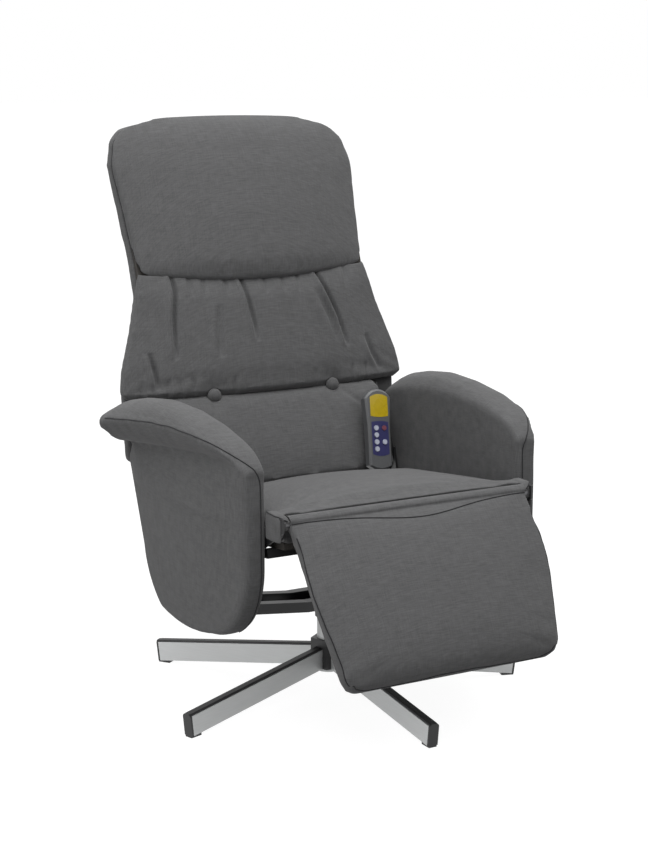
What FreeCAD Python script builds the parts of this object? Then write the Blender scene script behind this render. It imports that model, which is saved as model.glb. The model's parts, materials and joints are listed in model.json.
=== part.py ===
# Massage recliner on a swivel star base, with a footrest hinged to the front of its seat.
# Millimetres. +Z is up, the sitter faces -Y and +X is on the sitter's left.
import FreeCAD
import Part
import Sketcher
import math
import os
import re
from types import SimpleNamespace

V = FreeCAD.Vector
X_AXIS = V(1, 0, 0)
Z_AXIS = V(0, 0, 1)
LEG_COUNT = 5
FIRST_LEG_DEG = -90
SIDES = (-1, 1)

# Driving sizes. Places in Y and Z are counted from the swivel axis and the floor.
SIZES = {
    # Whole chair
    "swivel_y": 5.366,
    "cut_overrun": 2.0,
    "soft_gap": 0.4,
    "seat_gap": 0.3,
    "run_fit": 0.05,
    # Star base
    "leg_reach": 370.0,
    "leg_width": 20.0,
    "leg_height": 38.0,
    "leg_wall": 1.6,
    "leg_rise": 40.0,
    "leg_strip_width": 17.0,
    "leg_strip_height": 4.0,
    "leg_strip_round": 3.0,
    "leg_cap_thickness": 4.0,
    "leg_cap_round": 6.0,
    "leg_plug_length": 14.0,
    "glide_height": 3.0,
    "glide_length": 24.0,
    "glide_width": 16.0,
    "hub_apothem": 28.0,
    "hub_height": 57.0,
    "hub_disc_radius": 26.0,
    "hub_disc_thickness": 6.0,
    # Swivel column
    "pillar_radius": 22.0,
    "column_top": 141.0,
    "spindle_radius": 12.5,
    "spindle_foot": 60.0,
    "lock_screw_radius": 3.2,
    "lock_screw_length": 8.0,
    "lock_screw_sink": 0.6,
    "lock_screw_z": 131.0,
    "washer_thickness": 1.6,
    "skirt_radius": 26.0,
    "collar_height": 22.0,
    "spindle_nose_radius": 9.5,
    "spindle_nose_height": 8.0,
    # Carrier frame between the arms
    "carrier_half_flat": 60.0,
    "carrier_rise": 22.0,
    "carrier_bar_height": 20.0,
    "carrier_bar_depth": 20.0,
    "carrier_front_y": -30.0,
    "carrier_depth": 90.0,
    "carrier_plate_thickness": 5.0,
    "carrier_slot_length": 55.0,
    "carrier_slot_inset": 6.0,
    "carrier_flange_thickness": 5.0,
    "carrier_flange_height": 58.0,
    # Arms
    "arm_inner_x": 259.0,
    "arm_thickness": 46.0,
    "arm_edge_round": 7.0,
    "arm_front_y": -245.0,
    "arm_rear_reach": 3.0,
    "arm_bottom_z": 166.0,
    "arm_height": 357.0,
    "pad_overhang": 65.0,
    "pad_crown": 84.0,
    "arm_bolt_radius": 4.0,
    "arm_bolt_length": 26.0,
    "arm_bolt_head_radius": 7.0,
    "arm_bolt_head_height": 4.0,
    # Seat rails and the two main pivots
    "rail_thickness": 4.7,
    "rail_depth": 34.0,
    "rail_ear": 12.0,
    "back_pivot_set": 72.0,
    "back_pivot_z": 400.0,
    "back_pin_radius": 6.0,
    "back_pin_head_radius": 9.0,
    "back_pin_head_height": 3.6,
    "foot_pivot_y": -284.0,
    "foot_pivot_z": 415.0,
    "foot_pin_radius": 5.0,
    "foot_pin_length": 32.0,
    "plate_thickness": 4.0,
    "plate_gap": 0.4,
    # Seat
    "seat_front_y": -268.0,
    "seat_front_z": 377.0,
    "seat_half_width": 243.0,
    "seat_depth": 386.0,
    "seat_fall": 44.0,
    "seat_side": 50.0,
    "seat_crown": 70.0,
    "cheek_thickness": 6.0,
    "cheek_drop": 50.0,
    "cheek_front_drop": 24.0,
    "cheek_hinge_gap": 3.0,
    "cheek_round": 3.0,
    "seat_board_thickness": 12.0,
    "seat_board_inset": 6.0,
    "cross_bar_side": 16.0,
    "cross_bar_inset": 36.0,
    # Back
    "back_foot_set": 146.0,
    "back_foot_z": 395.0,
    "back_height": 667.0,
    "back_rake": 172.0,
    "back_half_width": 317.0,
    "shell_thickness": 22.0,
    "shell_bow": 7.0,
    "frame_thickness": 12.0,
    "bracket_ear": 13.0,
    "bracket_rise": 138.0,
    "bracket_lip": 16.0,
    "lumbar_half_width": 241.5,
    "lumbar_crown": 116.0,
    "back_pad_crown": 60.0,
    "back_pad_side": 21.0,
    "head_half_width": 271.0,
    "head_crown": 62.0,
    "head_side": 20.0,
    "tuft_x": 131.6,
    "tuft_radius": 14.0,
    "tuft_dome": 8.0,
    "tuft_rim": 3.0,
    "tuft_proud": 5.0,
    "tuft_shank_radius": 3.5,
    "tuft_gap": 1.0,
    # Recline levers and links
    "back_lever_y": 27.0,
    "back_lever_drop": 46.8,
    "foot_lever_y": 14.5,
    "foot_lever_drop": 21.6,
    "link_eye_radius": 9.0,
    "link_width": 12.0,
    "stud_radius": 4.0,
    "open_pivot_gap": 2.4,
    # Footrest
    "foot_run": 148.0,
    "foot_drop": 272.0,
    "foot_length": 301.0,
    "foot_roll_radius": 12.0,
    "foot_half_width": 242.0,
    "foot_crown": 52.0,
    "foot_side": 36.0,
    "foot_back": 4.0,
    "foot_board_thickness": 9.0,
    "foot_board_inset": 9.0,
    "foot_board_start": 20.0,
    "foot_tube_radius": 8.5,
    # Vibration motors
    "motor_radius": 22.0,
    "motor_height": 20.0,
    "motor_wall": 3.0,
    "motor_shaft_radius": 2.0,
    "motor_weight_radius": 15.0,
    "motor_weight_height": 8.0,
    "motor_weight_lift": 3.0,
    "seat_motor_x": 107.0,
    "seat_motor_inset": 190.0,
    "back_motor_x": 130.0,
    # Control box under the seat
    "box_width": 130.0,
    "box_depth": 90.0,
    "box_height": 34.0,
    "box_round": 5.0,
    "box_bar_gap": 12.0,
    "inlet_width": 17.0,
    "inlet_height": 11.0,
    "inlet_depth": 8.0,
    "inlet_wall": 2.0,
    # Hand control
    "remote_x": 180.0,
    "remote_set": 5.5,
    "remote_lift": 51.3,
    "remote_length": 162.0,
    "remote_width": 60.0,
    "remote_waist": 52.0,
    "remote_front_depth": 13.0,
    "remote_back_depth": 10.0,
    "remote_lean": 43.8,
    "remote_sway": 15.3,
    "remote_round": 4.0,
    "display_width": 40.0,
    "display_height": 46.0,
    "display_thickness": 1.6,
    "display_sink": 1.2,
    "display_top": 10.0,
    "display_crest": 6.0,
    "display_dip": 2.0,
    "keypad_width": 38.0,
    "keypad_height": 70.0,
    "keypad_thickness": 1.6,
    "keypad_sink": 1.2,
    "keypad_bottom": 28.0,
    "keypad_crest": 2.0,
    "keypad_dip": 4.0,
    "key_radius": 5.0,
    "key_height": 4.4,
    "key_column": 9.0,
    "key_pitch": 14.0,
    "key_foot": 14.0,
    "key_gap": 0.3,
    "key_floor": 1.0,
}

# Places that follow from the driving sizes: what stands behind the seat goes with the seat's rear.
DERIVED = {
    "back_pivot_y": "seat_front_y + seat_depth + back_pivot_set",
    "back_foot_y": "seat_front_y + seat_depth + back_foot_set",
    "arm_depth": "back_foot_y - shell_thickness + arm_rear_reach - arm_front_y",
    "box_inset": "seat_depth - cross_bar_inset - cross_bar_side - box_bar_gap - box_depth",
    "remote_y": "seat_front_y + seat_depth - remote_set",
    "remote_z": "seat_front_z - seat_fall + remote_lift",
}

# Shares of the back's height and rake, from foot to top, along its rear face.
BACK_LINE_SHARES = ((0.0, 0.0), (0.244, 0.116), (0.505, 0.326), (1.0, 1.0))
FRAME_TOP_SHARE = 0.9
SLOPE_STEP_SHARE = 0.02
TUFT_HEIGHT_SHARE = 0.228
MOTOR_HEIGHT_SHARES = {"back": 0.325, "head": 0.75}
# Back shell: share of the height and of the half width.
SHELL_SHARES = (
    (0.045, 0.93), (0.061, 0.948), (0.225, 0.95), (0.262, 0.943), (0.51, 0.8), (0.607, 0.8),
    (0.885, 0.842), (0.952, 0.808), (0.986, 0.735), (1.0, 0.62),
)
# Cushions on the back: height share of the back, then shares of half width, side and crown.
LUMBAR_SHARES = (
    (-0.01, 0.965, 0.78, 0.88), (0.01, 1.0, 0.87, 1.0), (0.112, 0.995, 0.66, 0.8),
    (0.202, 1.0, 0.43, 0.55), (0.223, 0.975, 0.32, 0.41),
)
BACK_PAD_SHARES = (
    (0.229, 0.94, 0.7, 0.68), (0.247, 0.985, 0.95, 0.93), (0.307, 0.965, 1.0, 1.0),
    (0.51, 0.82, 0.83, 0.78), (0.555, 0.79, 0.72, 0.53),
)
HEAD_SHARES = (
    (0.562, 0.83, 0.72, 0.53), (0.574, 0.9, 0.9, 0.82), (0.615, 0.925, 1.0, 1.0),
    (0.757, 0.95, 0.95, 1.0), (0.885, 0.985, 0.75, 0.88), (0.952, 0.95, 0.55, 0.68),
    (0.99, 0.85, 0.35, 0.42), (1.009, 0.6, 0.15, 0.14),
)
# Seat cushion: depth share, then shares of half width, side and crown.
SEAT_SHARES = (
    (0.0, 0.985, 1.0, 0.82), (0.035, 1.0, 1.08, 0.95), (0.15, 0.993, 1.04, 1.0),
    (0.55, 0.985, 0.96, 1.0), (0.9, 0.993, 0.94, 0.92), (0.97, 1.0, 0.9, 0.82), (1.0, 0.98, 0.78, 0.66),
)
# Footrest cushion: length share, then shares of half width, side and crown.
FOOT_SHARES = (
    (0.0, 1.0, 0.45, 0.32), (0.12, 0.993, 0.67, 0.65), (0.4, 0.952, 0.89, 0.92), (0.75, 0.905, 1.0, 1.0),
    (0.92, 0.88, 0.94, 0.88), (0.975, 0.85, 0.72, 0.65), (1.0, 0.79, 0.33, 0.27),
)
FOOT_TIP_SHARE = 0.87
# Arm pad, front to rear: share of the arm's depth, then the underside as a share of the arm's
# height, the seam's reach as a share of the overhang, and seam and top as shares of the crown.
ARM_PAD_SHARES = (
    (0.004, 0.88, 0.0, 0.14, 0.3), (0.027, 0.927, 0.05, 0.13, 0.25), (0.067, 0.978, 0.15, 0.09, 0.2),
    (0.098, 0.992, 0.25, 0.12, 0.24), (0.163, 0.983, 0.37, 0.28, 0.43), (0.276, 0.968, 0.46, 0.47, 0.67),
    (0.439, 0.947, 0.54, 0.58, 0.89), (0.622, 0.924, 0.68, 0.63, 1.02), (0.776, 0.904, 0.82, 0.63, 1.0),
    (0.888, 0.89, 0.94, 0.6, 0.92), (0.953, 0.882, 1.0, 0.56, 0.75), (0.967, 0.88, 0.94, 0.47, 0.61),
)
PAD_INNER_SHARE = 0.62
PAD_SHOULDER_SHARE = 0.42
# Arm panel below the pad, front to rear: shares of the arm's depth and height.
ARM_FRONT_SHARES = ((0.0, 0.74), (0.0, 0.43))
ARM_CHIN_SHARES = ((0.065, 0.2), (0.28, 0.045))
ARM_KEEL_SHARES = ((0.53, 0.0), (0.715, 0.028))
ARM_HEEL_SHARES = ((0.81, 0.145), (0.873, 0.339))
ARM_CORNER_SHARE = (1.0, 0.779)
ARM_CENTRE_SHARES = (0.48, 0.52)
# Bolts of each arm: shares of the carrier flange's depth and height.
FLANGE_BOLT_SHARES = ((0.14, 0.56), (0.5, 0.74), (0.86, 0.56))
RAIL_BOLT_SHARES = (0.22, 0.62)
RAIL_RISE_SHARE = 0.17
RAIL_STEP_SHARE = 0.12
CHEEK_TONGUE_SHARE = 0.88
SIDE_BULGE_SHARE = 0.1
REMOTE_HIP_SHARES = (0.06, 0.55, 0.885)
# Keys of the hand control: column side and row.
KEYS = {
    "key_power": (1, 3), "key_mode": (-1, 3), "key_speed_up": (-1, 2), "key_speed_down": (-1, 1),
    "key_zone": (-1, 0), "key_timer": (1, 1),
}

doc = FreeCAD.newDocument("massage_recliner")
sheet = doc.addObject("Spreadsheet::Sheet", "dim")
for row, alias in enumerate([*SIZES, *DERIVED], start=1):
    sheet.set(f"A{row}", alias)
    sheet.set(f"B{row}", str(SIZES[alias]) if alias in SIZES else "=" + DERIVED[alias])
    sheet.setAlias(f"B{row}", alias)
doc.recompute()
S = SimpleNamespace(**{alias: float(sheet.get(alias)) for alias in [*SIZES, *DERIVED]})
SIZE_WORD = re.compile(r"[a-z][a-z_]*[a-z]")
NODES = []


# Formulas, sketches and features

def cells(formula):
    """Point every size named in a formula at its cell."""
    def cell(hit):
        return "dim." + hit.group() if hasattr(S, hit.group()) else hit.group()

    return SIZE_WORD.sub(cell, formula)


def bind(item, prop, formula):
    item.setExpression(prop, cells(formula))


def number(item, formula):
    return float(item.evalExpression(cells(formula)))


def place(item, y="swivel_y", z="0", turn=None):
    """Place a finished piece by named sizes, with an optional turn about its own origin."""
    if turn is not None:
        item.Placement = FreeCAD.Placement(V(), turn)
    bind(item, "Placement.Base.y", y)
    bind(item, "Placement.Base.z", z)


def keep(item, label, **where):
    """Name a finished piece and list it among the nodes."""
    item.Label = label
    place(item, **where)
    NODES.append(item)
    return item


def new_body(name):
    return doc.addObject("PartDesign::Body", name)


def origin_feature(body, role):
    return next(part for part in body.Origin.OriginFeatures if part.Role == role)


def new_sketch(body, role, lift="0"):
    sketch = body.newObject("Sketcher::SketchObject", body.Name + "_sketch")
    sketch.AttachmentSupport = [(origin_feature(body, role), "")]
    sketch.MapMode = "FlatFace"
    bind(sketch, "AttachmentOffset.Base.z", lift)
    return sketch


def fix_point(sketch, geometry, position, formulas, point):
    for kind, formula, start in zip(("DistanceX", "DistanceY"), formulas, (point.x, point.y)):
        index = sketch.addConstraint(Sketcher.Constraint(kind, -1, 1, geometry, position, start))
        bind(sketch, f"Constraints[{index}]", formula)


def draw_outline(sketch, corners):
    """Draw a closed outline whose corners are pairs of formulas."""
    points = [V(number(sketch, across), number(sketch, up), 0) for across, up in corners]
    count = len(points)
    first = sketch.GeometryCount
    for index, point in enumerate(points):
        sketch.addGeometry(Part.LineSegment(point, points[(index + 1) % count]))
    for index in range(count):
        following = first + (index + 1) % count
        sketch.addConstraint(Sketcher.Constraint("Coincident", first + index, 2, following, 1))
    for index, (formulas, point) in enumerate(zip(corners, points)):
        fix_point(sketch, first + index, 1, formulas, point)


def draw_circle(sketch, centre, radius):
    point = V(number(sketch, centre[0]), number(sketch, centre[1]), 0)
    size = number(sketch, radius)
    index = sketch.addGeometry(Part.Circle(point, Z_AXIS, size))
    fix_point(sketch, index, 3, centre, point)
    index = sketch.addConstraint(Sketcher.Constraint("Radius", index, size))
    bind(sketch, f"Constraints[{index}]", radius)


def add_feature(body, kind, sketch, length, both_ways=False, backwards=False):
    """Pad or pocket a sketch by a named length."""
    feature = body.newObject("PartDesign::" + kind, body.Name + "_" + kind.lower())
    feature.Profile = sketch
    bind(feature, "Length", length)
    if both_ways:
        feature.SideType = "Symmetric"
    feature.Reversed = backwards
    doc.recompute()
    return feature


def pad_outline(body, role, corners, length, lift="0", **options):
    sketch = new_sketch(body, role, lift)
    draw_outline(sketch, corners)
    return add_feature(body, "Pad", sketch, length, **options)


def pocket_outline(body, role, corners, length, lift="0", **options):
    before = body.Shape.Volume
    sketch = new_sketch(body, role, lift)
    draw_outline(sketch, corners)
    pocket = add_feature(body, "Pocket", sketch, length, **options)
    if not body.Shape.Volume < before:
        raise ValueError(f"the pocket in {body.Name} cuts nothing")
    return pocket


def bore(body, role, centre, radius, length, lift="0", **options):
    before = body.Shape.Volume
    sketch = new_sketch(body, role, lift)
    draw_circle(sketch, centre, radius)
    pocket = add_feature(body, "Pocket", sketch, length, **options)
    if not body.Shape.Volume < before:
        raise ValueError(f"the bore in {body.Name} cuts nothing")
    return pocket


def stud(body, role, centre, radius, length, lift="0", **options):
    sketch = new_sketch(body, role, lift)
    draw_circle(sketch, centre, radius)
    return add_feature(body, "Pad", sketch, length, **options)


def round_edges(body, base, radius, wanted):
    """Fillet the edges of a feature that pass a test on their two ends."""
    names = [
        f"Edge{index}" for index, edge in enumerate(base.Shape.Edges, start=1)
        if len(edge.Vertexes) == 2 and wanted(edge.Vertexes[0].Point, edge.Vertexes[1].Point)
    ]
    fillet = body.newObject("PartDesign::Fillet", body.Name + "_fillet")
    fillet.Base = (base, names)
    bind(fillet, "Radius", radius)
    doc.recompute()
    return fillet


def turn_pattern(body, features):
    pattern = body.newObject("PartDesign::PolarPattern", body.Name + "_pattern")
    pattern.Originals = features
    pattern.Axis = (origin_feature(body, "Z_Axis"), [""])
    pattern.Angle = 360
    pattern.Occurrences = LEG_COUNT
    body.Tip = pattern
    doc.recompute()


def revolve(body, corners):
    sketch = new_sketch(body, "XZ_Plane")
    draw_outline(sketch, corners)
    feature = body.newObject("PartDesign::Revolution", body.Name + "_revolution")
    feature.Profile = sketch
    feature.ReferenceAxis = (sketch, ["V_Axis"])
    feature.Angle = 360
    doc.recompute()
    return feature


def feature_of(label, shape, **where):
    """A piece whose form is lofted, kept as one feature."""
    item = doc.addObject("Part::Feature", label)
    item.Shape = shape
    return keep(item, label, **where)


def about_z(degrees):
    return FreeCAD.Rotation(Z_AXIS, degrees)


# Lofts

def line(start, end):
    return Part.LineSegment(start, end).toShape()


def arc(start, middle, end):
    return Part.Arc(start, middle, end).toShape()


def ruled_solid(wires):
    return Part.makeLoft(wires, True, True)


def cushion_section(spot, half, base, side, crown):
    """A crowned section on a flat base: spot turns across and out into a point."""
    edge = half - side * SIDE_BULGE_SHARE
    middle = base + side / 2
    edges = [
        line(spot(-edge, base), spot(edge, base)),
        arc(spot(edge, base), spot(half, middle), spot(edge, base + side)),
        arc(spot(edge, base + side), spot(0, base + crown), spot(-edge, base + side)),
        arc(spot(-edge, base + side), spot(-half, middle), spot(-edge, base)),
    ]
    return Part.Wire(edges)


def cylinder(radius, height, at, along):
    return Part.makeCylinder(radius, height, at, along)


def mirrored(shape, side):
    return shape if side > 0 else shape.mirror(V(), X_AXIS)


def along_line(table, share):
    """Read a table of pairs at a share, with straight runs between its rows."""
    for (low, first), (high, last) in zip(table, table[1:]):
        if share <= high or high == table[-1][0]:
            return first + (last - first) * (share - low) / (high - low)
    return table[-1][1]


# Star base

LEG_LEAN = math.atan(S.leg_rise / (S.leg_reach - S.hub_apothem))
LEG_SINE = "(leg_rise / sqrt(leg_rise ^ 2 + (leg_reach - hub_apothem) ^ 2))"
LEG_COSINE = "((leg_reach - hub_apothem) / sqrt(leg_rise ^ 2 + (leg_reach - hub_apothem) ^ 2))"


def on_leg(back, up):
    """A point of a leg's side view: back from the tip along the leg, and up square to it."""
    across = f"leg_reach - ({back}) * {LEG_COSINE} + ({up}) * {LEG_SINE}"
    height = f"glide_height + ({back}) * {LEG_SINE} + ({up}) * {LEG_COSINE}"
    return across, height


def at_hub(up):
    """A point on the hub's flat, a slanted height above a leg's underside."""
    return "hub_apothem", f"glide_height + leg_rise + ({up}) / {LEG_COSINE}"


def make_leg(index):
    body = new_body(f"base_leg_{index + 1}")
    pad_outline(body, "XZ_Plane", [
        at_hub("0"), on_leg("leg_cap_thickness", "0"),
        on_leg("leg_cap_thickness", "leg_height"), at_hub("leg_height"),
    ], "leg_width", both_ways=True)
    inside = ("hub_apothem + leg_wall", f"glide_height + leg_rise - leg_wall * {LEG_SINE} / {LEG_COSINE}")
    pocket_outline(body, "XZ_Plane", [
        (inside[0], f"{inside[1]} + leg_wall / {LEG_COSINE}"), on_leg("-cut_overrun", "leg_wall"),
        on_leg("-cut_overrun", "leg_height - leg_wall"),
        (inside[0], f"{inside[1]} + (leg_height - leg_wall) / {LEG_COSINE}"),
    ], "leg_width - 2 * leg_wall", both_ways=True)
    keep(body, f"base_leg_{index + 1}", turn=about_z(FIRST_LEG_DEG + 360 / LEG_COUNT * index))


def runs_outwards(first, last):
    """True for an edge that runs along a leg at its top."""
    run = last - first
    return abs(run.x) > max(abs(run.y), abs(run.z)) and first.z > S.glide_height + S.leg_height / 2


def make_leg_trim():
    strips = new_body("leg_top_strips")
    strip = pad_outline(strips, "XZ_Plane", [
        at_hub("leg_height"), on_leg("leg_cap_thickness", "leg_height"),
        on_leg("leg_cap_thickness", "leg_height + leg_strip_height"),
        at_hub("leg_height + leg_strip_height"),
    ], "leg_strip_width", both_ways=True)

    def strip_top(first, last):
        fall = (S.leg_reach - first.x) * math.sin(LEG_LEAN)
        height = (first.z - S.glide_height) * math.cos(LEG_LEAN) - fall
        return runs_outwards(first, last) and height > S.leg_height + S.leg_strip_height / 2

    fillet = round_edges(strips, strip, "leg_strip_round", strip_top)
    turn_pattern(strips, [strip, fillet])
    keep(strips, "leg_top_strips", turn=about_z(FIRST_LEG_DEG))

    caps = new_body("leg_end_caps")
    cap = pad_outline(caps, "XZ_Plane", [
        on_leg("leg_cap_thickness", "0"), on_leg("0", "0"),
        on_leg("0", "leg_height + leg_strip_height"),
        on_leg("leg_cap_thickness", "leg_height + leg_strip_height"),
    ], "leg_width", both_ways=True)
    fillet = round_edges(caps, cap, "leg_cap_round", runs_outwards)
    inset = "(leg_wall + seat_gap)"
    plug = pad_outline(caps, "XZ_Plane", [
        on_leg("leg_cap_thickness", inset), on_leg("leg_cap_thickness", f"leg_height - {inset}"),
        on_leg("leg_cap_thickness + leg_plug_length", f"leg_height - {inset}"),
        on_leg("leg_cap_thickness + leg_plug_length", inset),
    ], f"leg_width - 2 * {inset}", both_ways=True)
    turn_pattern(caps, [cap, fillet, plug])
    keep(caps, "leg_end_caps", turn=about_z(FIRST_LEG_DEG))

    glides = new_body("foot_glides")
    glide = pad_outline(glides, "XZ_Plane", [
        ("leg_reach - glide_length", "0"), ("leg_reach", "0"), on_leg("0", "0"),
        ("leg_reach - glide_length", "glide_height + glide_length * leg_rise / (leg_reach - hub_apothem)"),
    ], "glide_width", both_ways=True)
    turn_pattern(glides, [glide])
    keep(glides, "foot_glides", turn=about_z(FIRST_LEG_DEG))


def make_hub():
    hub_foot = "glide_height + leg_rise"
    prism = doc.addObject("Part::Prism", "hub_prism")
    prism.Polygon = LEG_COUNT
    bind(prism, "Circumradius", f"hub_apothem / cos(180 deg / {LEG_COUNT})")
    bind(prism, "Height", "hub_height")
    prism.Placement = FreeCAD.Placement(V(), about_z(FIRST_LEG_DEG + 180 / LEG_COUNT))
    bind(prism, "Placement.Base.z", hub_foot)
    hole = doc.addObject("Part::Cylinder", "hub_hole")
    bind(hole, "Radius", "pillar_radius + run_fit")
    bind(hole, "Height", "hub_height + 2 * cut_overrun")
    bind(hole, "Placement.Base.z", f"{hub_foot} - cut_overrun")
    hub = doc.addObject("Part::Cut", "base_hub")
    hub.Base = prism
    hub.Tool = hole
    keep(hub, "base_hub")
    disc = doc.addObject("Part::Cylinder", "hub_disc")
    bind(disc, "Radius", "hub_disc_radius")
    bind(disc, "Height", "hub_disc_thickness")
    keep(disc, "hub_disc", z=f"{hub_foot} - hub_disc_thickness")


def make_column():
    column = new_body("swivel_column")
    foot = "glide_height + leg_rise"
    revolve(column, [
        ("0", foot), ("pillar_radius", foot), ("pillar_radius", "column_top"),
        ("spindle_radius + run_fit", "column_top"), ("spindle_radius + run_fit", "spindle_foot - seat_gap"),
        ("0", "spindle_foot - seat_gap"),
    ])
    bore(column, "YZ_Plane", ("0", "lock_screw_z"), "lock_screw_radius + run_fit",
         "pillar_radius + cut_overrun", lift="-pillar_radius - cut_overrun", backwards=True)
    turn = about_z(FIRST_LEG_DEG + 360 / LEG_COUNT * (LEG_COUNT - 1) - 180)
    keep(column, "swivel_column", turn=turn)

    screw = new_body("column_lock_screw")
    stud(screw, "YZ_Plane", ("0", "lock_screw_z"), "lock_screw_radius", "lock_screw_length",
         lift="lock_screw_sink - pillar_radius")
    keep(screw, "column_lock_screw", turn=turn)

    washer = new_body("swivel_washer")
    revolve(washer, [
        ("spindle_radius + run_fit", "column_top"), ("pillar_radius", "column_top"),
        ("pillar_radius", "column_top + washer_thickness"),
        ("spindle_radius + run_fit", "column_top + washer_thickness"),
    ])
    keep(washer, "swivel_washer")


# Carrier and seat structure

CARRIER_Z = "(column_top + washer_thickness + seat_gap + collar_height)"
CARRIER_END = "(arm_inner_x - seat_gap)"


def make_spindle():
    spindle = new_body("swivel_spindle")
    collar_foot = "column_top + washer_thickness + seat_gap"
    revolve(spindle, [
        ("0", "spindle_foot"), ("spindle_radius", "spindle_foot"), ("spindle_radius", collar_foot),
        ("skirt_radius", collar_foot), ("skirt_radius", CARRIER_Z), ("spindle_nose_radius", CARRIER_Z),
        ("spindle_nose_radius", f"{CARRIER_Z} + spindle_nose_height"),
        ("0", f"{CARRIER_Z} + spindle_nose_height"),
    ])
    keep(spindle, "swivel_spindle")


def bent_profile(thickness, end):
    """Side view of a bar that is flat in the middle and rises towards both arms."""
    low = CARRIER_Z
    high = f"({low} + carrier_rise * ({end} - carrier_half_flat) / (arm_inner_x - carrier_half_flat))"
    return [
        ("-carrier_half_flat", low), ("carrier_half_flat", low), (end, high),
        (end, f"{high} + {thickness}"), ("carrier_half_flat", f"{low} + {thickness}"),
        ("-carrier_half_flat", f"{low} + {thickness}"), (f"-{end}", f"{high} + {thickness}"),
        (f"-{end}", high),
    ]


def make_carrier():
    frame = new_body("carrier_frame")
    bar_end = f"({CARRIER_END} - carrier_flange_thickness / 2)"
    rear = "(carrier_front_y + carrier_depth - carrier_bar_depth)"
    for start in ("carrier_front_y", rear):
        pad_outline(frame, "XZ_Plane", bent_profile("carrier_bar_height", bar_end), "carrier_bar_depth",
                    lift=f"-({start})", backwards=True)
    flange_z = f"({CARRIER_Z} + carrier_rise)"
    for side in ("-1", "1"):
        inner = f"{side} * ({CARRIER_END} - carrier_flange_thickness)"
        pad_outline(frame, "XZ_Plane", [
            (inner, flange_z), (f"{side} * {CARRIER_END}", flange_z),
            (f"{side} * {CARRIER_END}", f"{flange_z} + carrier_flange_height"),
            (inner, f"{flange_z} + carrier_flange_height"),
        ], "carrier_depth", lift="-(carrier_front_y)", backwards=True)
    for across, up in FLANGE_BOLT_SHARES:
        spot = (f"carrier_front_y + carrier_depth * {across}", f"{flange_z} + carrier_flange_height * {up}")
        bore(frame, "YZ_Plane", spot, "arm_bolt_radius + run_fit", "2 * arm_inner_x", both_ways=True)
    keep(frame, "carrier_frame")

    plate = new_body("carrier_plate")
    plate_end = f"({CARRIER_END} - carrier_flange_thickness - seat_gap)"
    plate_front = "(carrier_front_y + carrier_bar_depth)"
    plate_depth = "(carrier_depth - 2 * carrier_bar_depth)"
    pad_outline(plate, "XZ_Plane", bent_profile("carrier_plate_thickness", plate_end), plate_depth,
                lift=f"-({plate_front})", backwards=True)
    for side in ("-1", "1"):
        near = f"{side} * carrier_half_flat"
        far = f"{side} * (carrier_half_flat + carrier_slot_length)"
        front = f"{plate_front} + carrier_slot_inset"
        back = f"{plate_front} + {plate_depth} - carrier_slot_inset"
        pocket_outline(plate, "XY_Plane", [(near, front), (far, front), (far, back), (near, back)],
                       "2 * arm_height", both_ways=True)
    bore(plate, "XY_Plane", ("0", "0"), "spindle_nose_radius + run_fit", "2 * arm_height", both_ways=True)
    keep(plate, "carrier_plate")


BACK_PIVOT = ("back_pivot_y", "back_pivot_z")
FOOT_PIVOT = ("foot_pivot_y", "foot_pivot_z")
RAIL_OUT = "(arm_inner_x - seat_gap)"
RAIL_IN = "(arm_inner_x - seat_gap - rail_thickness)"
PLATE_OUT = f"({RAIL_IN} - plate_gap)"
PLATE_IN = f"({PLATE_OUT} - plate_thickness)"
LINK_OUT = f"({PLATE_IN} - plate_gap)"
LINK_IN = f"({LINK_OUT} - plate_thickness)"


def rail_corners():
    """Side view of a seat rail: a bar below the seat with an ear at each pivot."""
    rise_y = f"foot_pivot_y + (back_pivot_y - foot_pivot_y) * {RAIL_RISE_SHARE}"
    step_y = f"foot_pivot_y + (back_pivot_y - foot_pivot_y) * {RAIL_STEP_SHARE}"
    return [
        ("foot_pivot_y - rail_ear", "foot_pivot_z + rail_ear"),
        ("foot_pivot_y - rail_ear", "foot_pivot_z - rail_ear"),
        (rise_y, "foot_pivot_z - 2 * rail_depth"),
        ("back_pivot_y + rail_ear", "back_pivot_z - 2 * rail_depth"),
        ("back_pivot_y + 2 * rail_ear", "back_pivot_z"),
        ("back_pivot_y + rail_ear", "back_pivot_z + rail_ear"),
        ("back_pivot_y - rail_ear", "back_pivot_z + rail_ear"),
        ("back_pivot_y - 2 * rail_ear", "back_pivot_z - rail_depth"),
        (step_y, "foot_pivot_z - rail_depth"),
        ("foot_pivot_y + rail_ear", "foot_pivot_z + rail_ear"),
    ]


def rail_bolt_spot(share):
    reach = f"(foot_pivot_y + (back_pivot_y - foot_pivot_y) * {share})"
    height = f"(foot_pivot_z - rail_depth - rail_depth / 2 + (back_pivot_z - foot_pivot_z) * {share})"
    return reach, height


def make_rails():
    rails = new_body("seat_rails")
    for lift in (RAIL_IN, f"-{RAIL_OUT}"):
        pad_outline(rails, "YZ_Plane", rail_corners(), "rail_thickness", lift=lift)
    bores = [(BACK_PIVOT, "back_pin_radius"), (FOOT_PIVOT, "foot_pin_radius")]
    bores += [(rail_bolt_spot(share), "arm_bolt_radius") for share in RAIL_BOLT_SHARES]
    for spot, radius in bores:
        bore(rails, "YZ_Plane", spot, f"{radius} + run_fit", "2 * arm_inner_x", both_ways=True)
    keep(rails, "seat_rails")


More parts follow.
